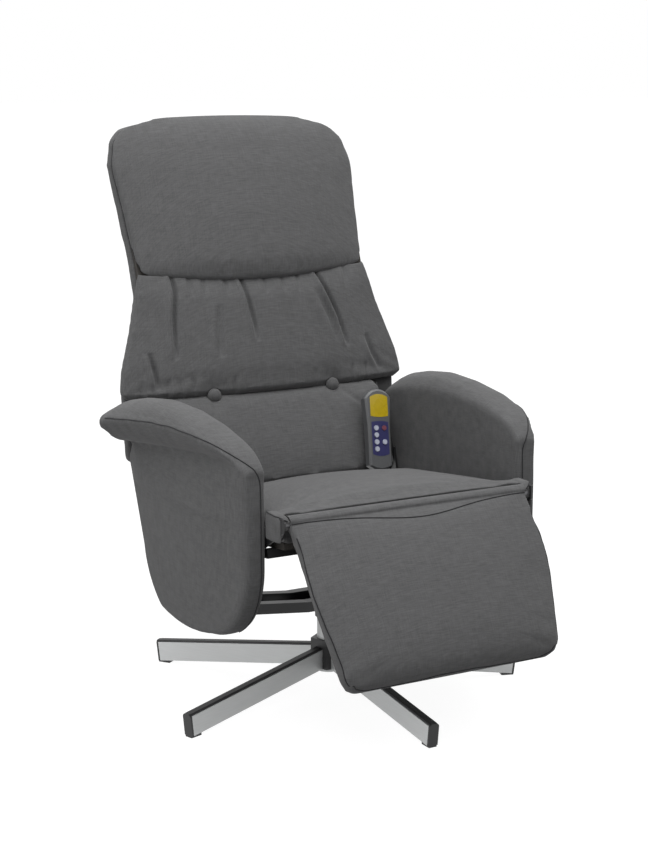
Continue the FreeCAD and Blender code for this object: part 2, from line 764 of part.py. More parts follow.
def make_pins():
    backs = new_body("back_pivot_pins")
    shank = "rail_thickness + 2 * plate_gap + plate_thickness"
    for side, backwards in (("", True), ("-", False)):
        stud(backs, "YZ_Plane", BACK_PIVOT, "back_pin_radius", shank,
             lift=f"{side}{RAIL_OUT}", backwards=backwards)
        stud(backs, "YZ_Plane", BACK_PIVOT, "back_pin_head_radius", "back_pin_head_height",
             lift=f"{side}{LINK_OUT}", backwards=backwards)
    keep(backs, "back_pivot_pins")
    fronts = new_body("footrest_pivot_pins")
    for side, backwards in (("", True), ("-", False)):
        stud(fronts, "YZ_Plane", FOOT_PIVOT, "foot_pin_radius", "foot_pin_length",
             lift=f"{side}{RAIL_OUT}", backwards=backwards)
    keep(fronts, "footrest_pivot_pins")


def arm_bolt_spots():
    flange_z = f"({CARRIER_Z} + carrier_rise)"
    for across, up in FLANGE_BOLT_SHARES:
        spot = (f"carrier_front_y + carrier_depth * {across}", f"{flange_z} + carrier_flange_height * {up}")
        yield spot, f"({CARRIER_END} - carrier_flange_thickness)"
    for share in RAIL_BOLT_SHARES:
        yield rail_bolt_spot(share), RAIL_IN


def make_arm_bolts():
    bolts = new_body("arm_bolts")
    for spot, seat in arm_bolt_spots():
        for side, backwards in (("", False), ("-", True)):
            stud(bolts, "YZ_Plane", spot, "arm_bolt_radius", "arm_bolt_length",
                 lift=f"{side}{seat}", backwards=backwards)
            stud(bolts, "YZ_Plane", spot, "arm_bolt_head_radius", "arm_bolt_head_height",
                 lift=f"{side}{seat}", backwards=not backwards)
    keep(bolts, "arm_bolts")


# Seat pieces lie in a frame that falls towards the back: across, back and up from the board's face.
SEAT_LEAN = math.atan(S.seat_fall / S.seat_depth)
SEAT_TURN = FreeCAD.Rotation(X_AXIS, -math.degrees(SEAT_LEAN))
SEAT_PLACE = {"y": "swivel_y + seat_front_y", "z": "seat_front_z", "turn": SEAT_TURN}
BOARD_TOP = "(-seat_gap)"
BOARD_FOOT = "(-seat_gap - seat_board_thickness)"


def make_seat_structure():
    board = new_body("seat_board")
    half = "(seat_half_width - seat_board_inset)"
    pad_outline(board, "XY_Plane", [
        (f"-{half}", "seat_board_inset"), (half, "seat_board_inset"),
        (half, "seat_depth - seat_board_inset"), (f"-{half}", "seat_depth - seat_board_inset"),
    ], "seat_board_thickness", lift=BOARD_FOOT)
    keep(board, "seat_board", **SEAT_PLACE)

    bars = new_body("seat_cross_bars")
    for start in ("cross_bar_inset", "(seat_depth - cross_bar_inset - cross_bar_side)"):
        pad_outline(bars, "XY_Plane", [
            (f"-{RAIL_IN}", start), (RAIL_IN, start), (RAIL_IN, f"{start} + cross_bar_side"),
            (f"-{RAIL_IN}", f"{start} + cross_bar_side"),
        ], "cross_bar_side", lift=f"{BOARD_FOOT} - cross_bar_side")
    keep(bars, "seat_cross_bars", **SEAT_PLACE)


def make_control_box():
    box = new_body("control_box")
    half = "(box_width / 2)"
    base = pad_outline(box, "XY_Plane", [
        (f"-{half}", "box_inset"), (half, "box_inset"), (half, "box_inset + box_depth"),
        (f"-{half}", "box_inset + box_depth"),
    ], "box_height", lift=f"{BOARD_FOOT} - box_height")
    round_edges(box, base, "box_round", lambda first, last: abs(first.z - last.z) > S.box_height / 2)
    keep(box, "control_box", **SEAT_PLACE)

    inlet = new_body("power_inlet")
    low = f"{BOARD_FOOT} - (box_height + inlet_height) / 2"
    corners = [
        ("-inlet_width / 2", low), ("inlet_width / 2", low), ("inlet_width / 2", f"{low} + inlet_height"),
        ("-inlet_width / 2", f"{low} + inlet_height"),
    ]
    pad_outline(inlet, "XZ_Plane", corners, "inlet_depth", lift="-(box_inset + box_depth)", backwards=True)
    wall = "inlet_wall"
    pocket_outline(inlet, "XZ_Plane", [
        (f"{wall} - inlet_width / 2", f"{low} + {wall}"), (f"inlet_width / 2 - {wall}", f"{low} + {wall}"),
        (f"inlet_width / 2 - {wall}", f"{low} + inlet_height - {wall}"),
        (f"{wall} - inlet_width / 2", f"{low} + inlet_height - {wall}"),
    ], "inlet_depth - inlet_wall", lift="-(box_inset + box_depth + inlet_depth)", backwards=True)
    keep(inlet, "power_inlet", **SEAT_PLACE)


# Vibration motors: a can with an eccentric weight turning inside, axis along local Z

def motor_case():
    can = cylinder(S.motor_radius, S.motor_height, V(), Z_AXIS)
    room = S.motor_height - 2 * S.motor_wall
    hollow = cylinder(S.motor_radius - S.motor_wall, room, V(0, 0, S.motor_wall), Z_AXIS)
    hole = cylinder(S.motor_shaft_radius + S.run_fit, S.motor_wall, V(0, 0, S.motor_wall / 2), Z_AXIS)
    return can.cut(hollow).cut(hole)


def motor_rotor():
    foot = S.motor_wall / 2 + S.seat_gap
    shaft_length = S.motor_height / 2 - foot
    shaft = cylinder(S.motor_shaft_radius, shaft_length, V(0, 0, foot), Z_AXIS)
    lift = S.motor_wall + S.motor_weight_lift
    weight = Part.makeCylinder(S.motor_weight_radius, S.motor_weight_height, V(0, 0, lift), Z_AXIS, 180)
    collar = cylinder(2 * S.motor_shaft_radius, S.motor_weight_height, V(0, 0, lift), Z_AXIS)
    return shaft.fuse([collar, weight]).removeSplitter()


def motor_pocket():
    room = S.motor_radius + S.soft_gap
    return cylinder(room, S.motor_height + S.soft_gap + S.cut_overrun, V(0, 0, -S.cut_overrun), Z_AXIS)


def seated(shape, at, along):
    """A copy of a shape with its Z axis laid along a direction from a point."""
    return shape.transformed(FreeCAD.Placement(at, FreeCAD.Rotation(Z_AXIS, along)).toMatrix(), True)


def seat_point(across, back, up):
    return SEAT_TURN.multVec(V(across, back, up)) + V(0, S.seat_front_y, S.seat_front_z)


SEAT_UP = SEAT_TURN.multVec(Z_AXIS)


def rear_face(share):
    """Y of the back's rear face at a share of its height."""
    return S.back_foot_y + S.back_rake * along_line(BACK_LINE_SHARES, share)


def back_height_at(share):
    return S.back_foot_z + S.back_height * share


def shell_front(share):
    return rear_face(share) - S.shell_thickness


def frame_front(share):
    return shell_front(share) - S.seat_gap - S.frame_thickness


def frame_normal(share):
    """Forward normal of the back frame's front face at a share of its height."""
    above = share + SLOPE_STEP_SHARE
    run = S.back_rake * (along_line(BACK_LINE_SHARES, above) - along_line(BACK_LINE_SHARES, share))
    return V(0, -S.back_height * SLOPE_STEP_SHARE, run).normalize()


def motor_seats():
    """Name, place and axis of each motor."""
    seats = {}
    for side, word in ((1, "left"), (-1, "right")):
        spot = seat_point(side * S.seat_motor_x, S.seat_motor_inset, -S.seat_gap)
        seats["seat_" + word] = (spot, SEAT_UP)
        for zone, share in MOTOR_HEIGHT_SHARES.items():
            spot = V(side * S.back_motor_x, frame_front(share), back_height_at(share))
            seats[zone + "_" + word] = (spot, frame_normal(share))
    return seats


MOTORS = motor_seats()


def zone_shapes(zone, shape):
    return [seated(shape, at, along) for name, (at, along) in MOTORS.items() if name.startswith(zone)]


def make_motors():
    case = motor_case()
    rotor = motor_rotor()
    feature_of("seat_motor_cases", Part.makeCompound(zone_shapes("seat", case)))
    feature_of("back_motor_cases", Part.makeCompound(zone_shapes("back", case) + zone_shapes("head", case)))
    for name, (at, along) in MOTORS.items():
        feature_of(f"{name}_rotor", seated(rotor, at, along))


# Soft pieces of the seat and arms

def seat_cheek():
    """Front corner of the seat's cover, turned down over the rail and the footrest hinge."""
    wall = S.cheek_thickness
    inner, outer = S.foot_half_width + S.soft_gap, S.arm_inner_x + wall
    front, rear = S.foot_pivot_y - S.rail_ear - S.cheek_hinge_gap - wall, S.arm_front_y - S.soft_gap
    under = S.foot_pivot_z + S.rail_ear + S.soft_gap
    corner = V(outer, front, under + wall)
    foot = corner.z - S.cheek_drop
    block = Part.makeBox(outer - inner, rear - front, S.cheek_drop, V(inner, front, foot))
    meeting = [edge for edge in block.Edges if any(spot.Point == corner for spot in edge.Vertexes)]
    block = block.makeFillet(S.cheek_round, meeting)
    low = V(inner, front, foot) - V(S.cut_overrun, S.cut_overrun, S.cut_overrun)
    across = S.arm_inner_x - low.x
    hinge_room = Part.makeBox(across, rear - front, under - low.z, V(low.x, front + wall, low.z))
    swing_room = Part.makeBox(across, rear - low.y, corner.z - S.cheek_front_drop - low.z, low)
    tongue_end = V(S.seat_half_width * CHEEK_TONGUE_SHARE, S.seat_front_y + wall, under)
    tongue = Part.makeBox(inner + wall - tongue_end.x, rear - tongue_end.y, wall, tongue_end)
    return block.cut([hinge_room, swing_room]).fuse(tongue).removeSplitter()


def make_seat_cushion():
    wires = []
    for back, width, side, crown in SEAT_SHARES:
        def spot(across, up, back=back):
            return seat_point(across, S.seat_depth * back, up)
        half = S.seat_half_width * width
        wires.append(cushion_section(spot, half, 0, S.seat_side * side, S.seat_crown * crown))
    cheek = seat_cheek()
    shape = ruled_solid(wires).fuse([cheek, mirrored(cheek, -1)])
    for pocket in zone_shapes("seat", motor_pocket()):
        shape = shape.cut(pocket)
    feature_of("seat_cushion", shape)


def arm_point(shares, out):
    return V(out, S.arm_front_y + S.arm_depth * shares[0], S.arm_bottom_z + S.arm_height * shares[1])


def arm_panel_wire(out, inset):
    """Outline of an arm panel at a distance out, drawn in towards its centre by an inset."""
    depth = 1 - 2 * inset / S.arm_depth
    height = 1 - 2 * inset / S.arm_height
    drop = S.soft_gap / S.arm_height

    def spot(shares):
        across = ARM_CENTRE_SHARES[0] + (shares[0] - ARM_CENTRE_SHARES[0]) * depth
        up = ARM_CENTRE_SHARES[1] + (shares[1] - ARM_CENTRE_SHARES[1]) * height
        return arm_point((across, up), out)

    top = [spot((row[0], row[1] - drop)) for row in ARM_PAD_SHARES]
    front = [spot(shares) for shares in ARM_FRONT_SHARES]
    chin = [spot(shares) for shares in ARM_CHIN_SHARES]
    keel = [spot(shares) for shares in ARM_KEEL_SHARES]
    heel = [spot(shares) for shares in ARM_HEEL_SHARES]
    corner = spot(ARM_CORNER_SHARE)
    edges = [line(start, end) for start, end in zip(top, top[1:])]
    edges += [line(top[-1], corner), line(corner, heel[1]), arc(heel[1], heel[0], keel[1])]
    edges += [arc(keel[1], keel[0], chin[1]), arc(chin[1], chin[0], front[1])]
    edges += [line(front[1], front[0]), line(front[0], top[0])]
    return Part.Wire(edges)


def make_arm_panel(side, word):
    inner = S.arm_inner_x
    outer = inner + S.arm_thickness
    wires = [
        arm_panel_wire(inner, S.arm_edge_round), arm_panel_wire(inner + S.arm_edge_round, 0),
        arm_panel_wire(outer - S.arm_edge_round, 0), arm_panel_wire(outer, S.arm_edge_round),
    ]
    shape = ruled_solid(wires)
    for spot, seat in arm_bolt_spots():
        at = V(number(sheet, seat), number(sheet, spot[0]), number(sheet, spot[1]))
        length = S.arm_bolt_length + S.seat_gap
        shape = shape.cut(cylinder(S.arm_bolt_radius + S.run_fit, length, at, X_AXIS))
    feature_of(f"arm_panel_{word}", mirrored(shape, side))


def arm_pad_wire(row):
    across, under, reach, seam, crown = row
    inner = S.arm_inner_x
    outer = inner + S.arm_thickness
    y = S.arm_front_y + S.arm_depth * across
    foot = S.arm_bottom_z + S.arm_height * under
    edge = V(outer + S.pad_overhang * reach, y, foot + S.pad_crown * seam)
    top = foot + S.pad_crown * crown
    shoulder = V(inner + (edge.x - inner) * PAD_SHOULDER_SHARE, y, top)
    rim = V(inner, y, foot + (top - foot) * PAD_INNER_SHARE)
    start = V(inner, y, foot)
    end = V(outer - S.soft_gap, y, foot)
    belly = (edge + end) / 2 + V(S.soft_gap, 0, -S.soft_gap)
    return Part.Wire([line(start, end), arc(end, belly, edge), arc(edge, shoulder, rim), line(rim, start)])


def make_arm_pad(side, word):
    shape = ruled_solid([arm_pad_wire(row) for row in ARM_PAD_SHARES])
    feature_of(f"arm_pad_{word}", mirrored(shape, side))


# Back

def shell_wire(height, width):
    z = back_height_at(height)
    rear = rear_face(height)
    half = S.back_half_width * width
    front = rear - S.shell_thickness
    bulge = half + S.shell_bow * SIDE_BULGE_SHARE
    middle = (front + rear) / 2
    edges = [
        line(V(-half, front, z), V(half, front, z)),
        arc(V(half, front, z), V(bulge, middle, z), V(half, rear, z)),
        arc(V(half, rear, z), V(0, rear + S.shell_bow, z), V(-half, rear, z)),
        arc(V(-half, rear, z), V(-bulge, middle, z), V(-half, front, z)),
    ]
    return Part.Wire(edges)


def with_bends(table):
    """Rows of a table of back sections, with a row added where the rear face bends."""
    heights = [row[0] for row in table]
    rows = list(table)
    for bend, _ in BACK_LINE_SHARES[1:-1]:
        if heights[0] < bend < heights[-1] and bend not in heights:
            columns = range(1, len(table[0]))
            rows.append((bend, *(along_line([(row[0], row[k]) for row in table], bend) for k in columns)))
    return sorted(rows)


def make_back_shell():
    feature_of("back_shell", ruled_solid([shell_wire(*row) for row in with_bends(SHELL_SHARES)]))


def make_back_frame():
    frame = new_body("back_frame")
    rows = frame_rows()
    rear_gap = "shell_thickness + seat_gap"

    def corner(row, back):
        return f"back_foot_y + back_rake * {row[1]} - ({back})", f"back_foot_z + back_height * {row[0]}"

    corners = [corner(row, rear_gap) for row in rows]
    corners += [corner(row, rear_gap + " + frame_thickness") for row in reversed(rows)]
    pad_outline(frame, "YZ_Plane", corners, f"2 * ({PLATE_IN} - seat_gap)", both_ways=True)
    keep(frame, "back_frame")


def frame_rows():
    """Shares of height and rake at the frame's foot, bends and top."""
    rows = [row for row in BACK_LINE_SHARES if row[0] < FRAME_TOP_SHARE]
    return rows + [(FRAME_TOP_SHARE, along_line(BACK_LINE_SHARES, FRAME_TOP_SHARE))]


def frame_room():
    """The space that the cushions leave for the frame."""
    half = number(sheet, PLATE_IN) + S.soft_gap
    first, *middle, last = frame_rows()
    rows = [(first[0] - S.frame_thickness / S.back_height, first[1]), *middle]
    rows.append((last[0] + S.soft_gap / S.back_height, last[1]))
    shares = [row[0] for row in rows]
    front = [V(-half, frame_front(share) - S.soft_gap, back_height_at(share)) for share in shares]
    shares.reverse()
    rear = [V(-half, shell_front(share) + S.frame_thickness, back_height_at(share)) for share in shares]
    outline = Part.makePolygon(front + rear + front[:1])
    return Part.Face(outline).extrude(X_AXIS * (2 * half))


def back_cushion(rows, half, side, crown):
    wires = []
    for height, width, side_share, crown_share in with_bends(rows):
        def spot(across, out, height=height):
            return V(across, shell_front(height) - S.soft_gap - out, back_height_at(height))
        wires.append(cushion_section(spot, half * width, 0, side * side_share, crown * crown_share))
    return ruled_solid(wires).cut(frame_room())


def bracket_room():
    """The space that the back cushion leaves for the brackets, where it reaches down to them."""
    inner = number(sheet, PLATE_IN) - S.soft_gap
    outer = number(sheet, PLATE_OUT) + S.soft_gap
    foot = V(0, S.back_pivot_y - S.bracket_ear - S.soft_gap, S.back_pivot_z)
    depth = rear_face(TUFT_HEIGHT_SHARE) - foot.y
    blocks = [Part.makeBox(outer - inner, depth, S.bracket_rise + S.soft_gap, foot + X_AXIS * across)
              for across in (inner, -outer)]
    return Part.makeCompound(blocks)


def tuft_frame(side):
    share = TUFT_HEIGHT_SHARE
    surface = shell_front(share) - S.soft_gap - S.back_pad_crown * BACK_PAD_SHARES[0][3]
    return V(side * S.tuft_x, surface - S.tuft_proud, back_height_at(share)), frame_front(share)


def make_back_cushions():
    lumbar = back_cushion(LUMBAR_SHARES, S.lumbar_half_width, S.lumbar_crown, S.lumbar_crown)
    middle = back_cushion(BACK_PAD_SHARES, S.back_half_width, S.back_pad_side, S.back_pad_crown)
    middle = middle.cut(bracket_room())
    head = back_cushion(HEAD_SHARES, S.head_half_width, S.head_side, S.head_crown)
    backwards = V(0, 1, 0)
    buttons = []
    for side in SIDES:
        face, stop = tuft_frame(side)
        length = stop - face.y
        sink = S.tuft_dome + S.tuft_proud + S.tuft_rim + S.tuft_gap
        recess = cylinder(S.tuft_radius + S.tuft_gap, sink, face - backwards * S.tuft_dome, backwards)
        channel = cylinder(S.tuft_shank_radius + S.soft_gap, length, face, backwards)
        lumbar = lumbar.cut(recess).cut(channel)
        middle = middle.cut(recess).cut(channel)
        ball_radius = (S.tuft_radius ** 2 + S.tuft_dome ** 2) / (2 * S.tuft_dome)
        ball = Part.makeSphere(ball_radius, face + backwards * (ball_radius - S.tuft_dome))
        cheek = cylinder(S.tuft_radius, S.tuft_dome, face - backwards * S.tuft_dome, backwards)
        rim = cylinder(S.tuft_radius, S.tuft_rim, face, backwards)
        shank = cylinder(S.tuft_shank_radius, length - 2 * S.soft_gap, face, backwards)
        buttons.append(ball.common(cheek).fuse([rim, shank]).removeSplitter())
    for pocket in zone_shapes("back", motor_pocket()):
        middle = middle.cut(pocket)
    for pocket in zone_shapes("head", motor_pocket()):
        head = head.cut(pocket)
    feature_of("lumbar_cushion", lumbar)
    feature_of("back_cushion", middle)
    feature_of("headrest_pad", head)
    feature_of("tuft_buttons", Part.makeCompound(buttons))


BACK_STUD = ("back_pivot_y + back_lever_y", "back_pivot_z - back_lever_drop")
FOOT_STUD = ("foot_pivot_y + foot_lever_y", "foot_pivot_z - foot_lever_drop")


def make_back_brackets():
    brackets = new_body("back_brackets")
    rise_share = (S.back_pivot_z + S.bracket_rise - S.back_foot_z) / S.back_height
    foot_rear = "back_foot_y - shell_thickness - seat_gap"
    top_rear = f"{foot_rear} + back_rake * {along_line(BACK_LINE_SHARES, rise_share)}"
    ear = "bracket_ear"
    corners = [
        (f"back_pivot_y - {ear}", f"back_pivot_z + {ear}"),
        (f"back_pivot_y - {ear}", f"back_pivot_z - {ear}"),
        (f"{BACK_STUD[0]} - {ear}", f"{BACK_STUD[1]} - {ear} / 2"),
        (f"{BACK_STUD[0]} + {ear} / 2", f"{BACK_STUD[1]} - {ear}"),
        (foot_rear, "back_foot_z"), (top_rear, "back_pivot_z + bracket_rise"),
        (f"{top_rear} - bracket_lip", "back_pivot_z + bracket_rise"),
    ]
    for lift in (PLATE_IN, f"-{PLATE_OUT}"):
        pad_outline(brackets, "YZ_Plane", corners, "plate_thickness", lift=lift)
    bore(brackets, "YZ_Plane", BACK_PIVOT, "back_pin_radius + run_fit", "2 * arm_inner_x", both_ways=True)
    for side, backwards in (("", True), ("-", False)):
        stud(brackets, "YZ_Plane", BACK_STUD, "stud_radius", "plate_gap + plate_thickness",
             lift=f"{side}{PLATE_IN}", backwards=backwards)
    keep(brackets, "back_brackets")


def eye_link(word, inner):
    """A flat link with a running eye at the back lever and an open eye at the footrest lever."""
    pieces = []
    for index, spot in enumerate((BACK_STUD, FOOT_STUD)):
        eye = doc.addObject("Part::Cylinder", f"link_eye_{word}_{index}")
        eye.Placement = FreeCAD.Placement(V(), FreeCAD.Rotation(V(0, 1, 0), 90))
        bind(eye, "Radius", "link_eye_radius" if index == 0 else "link_eye_radius + open_pivot_gap")
        pieces.append((eye, spot))
    bar = new_body(f"link_bar_{word}")
    half = "link_width / 2"
    corners = [
        (BACK_STUD[0], f"{BACK_STUD[1]} + {half}"), (BACK_STUD[0], f"{BACK_STUD[1]} - {half}"),
        (FOOT_STUD[0], f"{FOOT_STUD[1]} - {half}"), (FOOT_STUD[0], f"{FOOT_STUD[1]} + {half}"),
    ]
    pad_outline(bar, "YZ_Plane", corners, "plate_thickness", lift=inner)
    holes = []
    for index, (eye, spot) in enumerate(pieces):
        bind(eye, "Height", "plate_thickness")
        bind(eye, "Placement.Base.x", inner)
        bind(eye, "Placement.Base.y", spot[0])
        bind(eye, "Placement.Base.z", spot[1])
        hole = doc.addObject("Part::Cylinder", f"link_hole_{word}_{index}")
        hole.Placement = FreeCAD.Placement(V(), FreeCAD.Rotation(V(0, 1, 0), 90))
        bind(hole, "Radius", "stud_radius + run_fit" if index == 0 else "stud_radius + open_pivot_gap")
        bind(hole, "Height", "plate_thickness + 2 * cut_overrun")
        bind(hole, "Placement.Base.x", f"{inner} - cut_overrun")
        bind(hole, "Placement.Base.y", spot[0])
        bind(hole, "Placement.Base.z", spot[1])
        holes.append(hole)
    whole = doc.addObject("Part::MultiFuse", f"link_whole_{word}")
    whole.Shapes = [bar] + [eye for eye, _ in pieces]
    drilled = doc.addObject("Part::MultiFuse", f"link_holes_{word}")
    drilled.Shapes = holes
    link = doc.addObject("Part::Cut", f"recline_link_{word}")
    link.Base = whole
    link.Tool = drilled
    keep(link, f"recline_link_{word}")


# Footrest pieces lie in a frame along its face: across, down from the pivot and out of the front

FOOT_ALONG = V(0, -S.foot_run, -S.foot_drop).normalize()
FOOT_OUT = V(0, -S.foot_drop, S.foot_run).normalize()
FOOT_TURN = FreeCAD.Rotation(V(-1, 0, 0), FOOT_ALONG, FOOT_OUT, "XYZ")
FOOT_PLACE = {"y": "swivel_y + foot_pivot_y", "z": "foot_pivot_z", "turn": FOOT_TURN}


def foot_point(across, down, out):
    return V(across, S.foot_pivot_y, S.foot_pivot_z) + FOOT_ALONG * down + FOOT_OUT * out


def make_footrest():
    wires = []
    for down, width, side, crown in FOOT_SHARES:
        def spot(across, out, down=down):
            return foot_point(across, S.foot_length * down, out)
        half = S.foot_half_width * width
        wires.append(cushion_section(spot, half, -S.foot_back, S.foot_side * side, S.foot_crown * crown))
    start = V(-S.foot_half_width, S.foot_pivot_y, S.foot_pivot_z)
    roll = cylinder(S.foot_roll_radius, 2 * S.foot_half_width, start, X_AXIS)
    tube_room = cylinder(S.foot_tube_radius + S.seat_gap, 2 * S.foot_half_width, start, X_AXIS)
    feature_of("footrest_cushion", ruled_solid(wires).fuse(roll).removeSplitter().cut(tube_room))

    board = new_body("footrest_board")
    wide = "(foot_half_width - foot_board_inset)"
    narrow = f"(foot_half_width * {FOOT_TIP_SHARE} - foot_board_inset)"
    end = "(foot_length - foot_board_inset)"
    pad_outline(board, "XY_Plane", [
        (f"-{wide}", "foot_board_start"), (wide, "foot_board_start"), (narrow, end), (f"-{narrow}", end),
    ], "foot_board_thickness", lift="-foot_back - seat_gap", backwards=True)
    keep(board, "footrest_board", **FOOT_PLACE)

    tube = new_body("footrest_pivot_tube")
    sketch = new_sketch(tube, "YZ_Plane")
    draw_circle(sketch, FOOT_PIVOT, "foot_tube_radius")
    draw_circle(sketch, FOOT_PIVOT, "foot_pin_radius + run_fit")
    add_feature(tube, "Pad", sketch, f"2 * {PLATE_IN}", both_ways=True)
    keep(tube, "footrest_pivot_tube")

    levers = new_body("footrest_levers")
    ear = "link_eye_radius"
    corners = [
        (f"foot_pivot_y - {ear}", f"foot_pivot_z + {ear} / 2"),
        (f"foot_pivot_y - {ear}", f"foot_pivot_z - {ear} / 2"),
        (f"{FOOT_STUD[0]} - {ear}", f"{FOOT_STUD[1]} - {ear} / 2"),
        (f"{FOOT_STUD[0]} + {ear} / 2", f"{FOOT_STUD[1]} - {ear} / 2"),
        (f"{FOOT_STUD[0]} + {ear} / 2", f"{FOOT_STUD[1]} + {ear} / 2"),
        (f"foot_pivot_y + {ear}", f"foot_pivot_z + {ear} / 2"),
        (f"foot_pivot_y + {ear} / 2", f"foot_pivot_z + {ear}"),
        (f"foot_pivot_y - {ear} / 2", f"foot_pivot_z + {ear}"),
    ]
    for lift in (PLATE_IN, f"-{PLATE_OUT}"):
        pad_outline(levers, "YZ_Plane", corners, "plate_thickness", lift=lift)
    bore(levers, "YZ_Plane", FOOT_PIVOT, "foot_pin_radius + run_fit", "2 * arm_inner_x", both_ways=True)
    for side, backwards in (("", True), ("-", False)):
        stud(levers, "YZ_Plane", FOOT_STUD, "stud_radius", "plate_gap + plate_thickness",
             lift=f"{side}{PLATE_IN}", backwards=backwards)
    keep(levers, "footrest_levers")


# Hand control: local X across, local Z along its length and local -Y out of its face

REMOTE_RISE = math.sqrt(S.remote_length ** 2 - S.remote_lean ** 2 - S.remote_sway ** 2)
REMOTE_UP = V(S.remote_sway, S.remote_lean, REMOTE_RISE).normalize()
REMOTE_TURN = FreeCAD.Rotation(X_AXIS, V(), REMOTE_UP, "ZXY")


def remote_wire(out, inset):
    """Outline of the casing at a depth, drawn in by an inset."""
    half = S.remote_width / 2 - inset
    waist = S.remote_waist / 2 - inset
    low, middle, high = (S.remote_length * share for share in REMOTE_HIP_SHARES)

    def spot(across, up):
        return V(across, -out, up)

    return Part.Wire([
        arc(spot(-waist, low), spot(0, inset), spot(waist, low)),
        line(spot(waist, low), spot(waist, middle)),
        line(spot(waist, middle), spot(half, high)),
        arc(spot(half, high), spot(0, S.remote_length - inset), spot(-half, high)),
        line(spot(-half, high), spot(-waist, middle)),
        line(spot(-waist, middle), spot(-waist, low)),
    ])


def remote_shell(depth, direction):
    """Half of the casing, from the parting plane to a rounded face."""
    edge = S.remote_round
    shoulder = remote_wire(direction * (depth - edge), 0)
    return ruled_solid([remote_wire(0, 0), shoulder, remote_wire(direction * depth, edge)])


def remote_panel(word, foot):
    """A flat panel with arched ends, let into the front of the casing."""
    thickness = getattr(S, f"{word}_thickness")
    face = S.remote_front_depth - getattr(S, f"{word}_sink") + thickness
    half = getattr(S, f"{word}_width") / 2
    top = foot + getattr(S, f"{word}_height")
    low, high = foot + getattr(S, f"{word}_dip"), top - getattr(S, f"{word}_crest")

    def spot(across, up):
        return V(across, -face, up)

    wire = Part.Wire([
        arc(spot(-half, low), spot(0, foot), spot(half, low)),
        line(spot(half, low), spot(half, high)),
        arc(spot(half, high), spot(0, top), spot(-half, high)),
        line(spot(-half, high), spot(-half, low)),
    ])
    return Part.Face(wire).extrude(V(0, thickness, 0))


def key_spots():
    for name, (column, line_number) in KEYS.items():
        up = S.keypad_bottom + S.key_foot + S.key_pitch * line_number
        yield name, V(column * S.key_column, 0, up)


def remote_feature(label, shape):
    item = feature_of(label, shape, y="swivel_y + remote_y", z="remote_z", turn=REMOTE_TURN)
    bind(item, "Placement.Base.x", "remote_x")


def make_remote():
    front = remote_shell(S.remote_front_depth, 1)
    display_foot = S.remote_length - S.display_top - S.display_height
    display = remote_panel("display", display_foot)
    keypad = remote_panel("keypad", S.keypad_bottom)
    outwards = V(0, -1, 0)
    key_base = S.remote_front_depth - S.keypad_sink - S.key_height / 2 + S.key_floor
    keys = {}
    for name, at in key_spots():
        foot = at + outwards * key_base
        keys[name] = cylinder(S.key_radius, S.key_height, foot, outwards)
        well_foot = foot - outwards * 2 * S.key_floor
        well = cylinder(S.key_radius + S.key_gap, S.key_height + S.cut_overrun, well_foot, outwards)
        front = front.cut(well)
        keypad = keypad.cut(well)
    front = front.cut(display).cut(keypad)
    remote_feature("remote_front_shell", front)
    remote_feature("remote_back_shell", remote_shell(S.remote_back_depth, -1))
    remote_feature("remote_display", display)
    remote_feature("remote_keypad", keypad)
    for name, key in keys.items():
        remote_feature(name, key)


def make_chair():
    for index in range(LEG_COUNT):
        make_leg(index)
    make_leg_trim()
    make_hub()
    make_column()
    make_spindle()
    make_carrier()
    make_rails()
    make_pins()
    make_arm_bolts()
    make_seat_structure()
    make_control_box()
    make_motors()
    make_seat_cushion()
    for side, word in ((1, "left"), (-1, "right")):
        make_arm_panel(side, word)
        make_arm_pad(side, word)
    make_back_shell()
    make_back_frame()
    make_back_cushions()
    make_back_brackets()
    eye_link("left", LINK_IN)
    eye_link("right", f"-{LINK_OUT}")
    make_footrest()
    make_remote()


def write_parts():
    doc.recompute()
    for item in doc.Objects:
        if "Invalid" in item.State or "Error" in item.State:
            raise ValueError(f"{item.Label} failed: {item.State}")
    for item in NODES:
        if item.Shape.isNull() or not item.Shape.isValid():
            raise ValueError(f"{item.Label} has no valid shape")
    os.makedirs("parts", exist_ok=True)
    for item in NODES:
        item.Shape.exportStep(f"parts/{item.Label}.step")
    box = Part.makeCompound([item.Shape for item in NODES]).BoundBox
    print(len(NODES), "nodes", box)


make_chair()
write_parts()
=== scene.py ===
from collections import namedtuple
import json
import math

import bmesh
import bpy
import numpy as np
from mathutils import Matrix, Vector
from mathutils.bvhtree import BVHTree


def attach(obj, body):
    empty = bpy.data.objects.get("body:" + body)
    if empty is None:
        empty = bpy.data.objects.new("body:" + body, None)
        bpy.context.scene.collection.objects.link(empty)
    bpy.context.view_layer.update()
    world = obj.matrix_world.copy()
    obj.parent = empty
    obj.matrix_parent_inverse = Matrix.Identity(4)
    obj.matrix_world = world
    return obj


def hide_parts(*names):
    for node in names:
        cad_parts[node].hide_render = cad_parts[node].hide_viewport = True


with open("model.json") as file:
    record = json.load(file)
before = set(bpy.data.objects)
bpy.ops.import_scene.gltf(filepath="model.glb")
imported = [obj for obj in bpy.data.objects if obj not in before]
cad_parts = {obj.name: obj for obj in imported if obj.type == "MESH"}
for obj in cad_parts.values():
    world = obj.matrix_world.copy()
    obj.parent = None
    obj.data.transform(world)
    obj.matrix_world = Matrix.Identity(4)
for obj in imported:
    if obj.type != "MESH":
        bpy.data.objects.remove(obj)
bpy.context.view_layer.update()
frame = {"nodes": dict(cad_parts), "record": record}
NODES = frame["nodes"]
BODY_OF = {node: body for body, nodes in frame["record"]["behaviour"]["bodies"].items() for node in nodes}
SCENE = bpy.context.scene

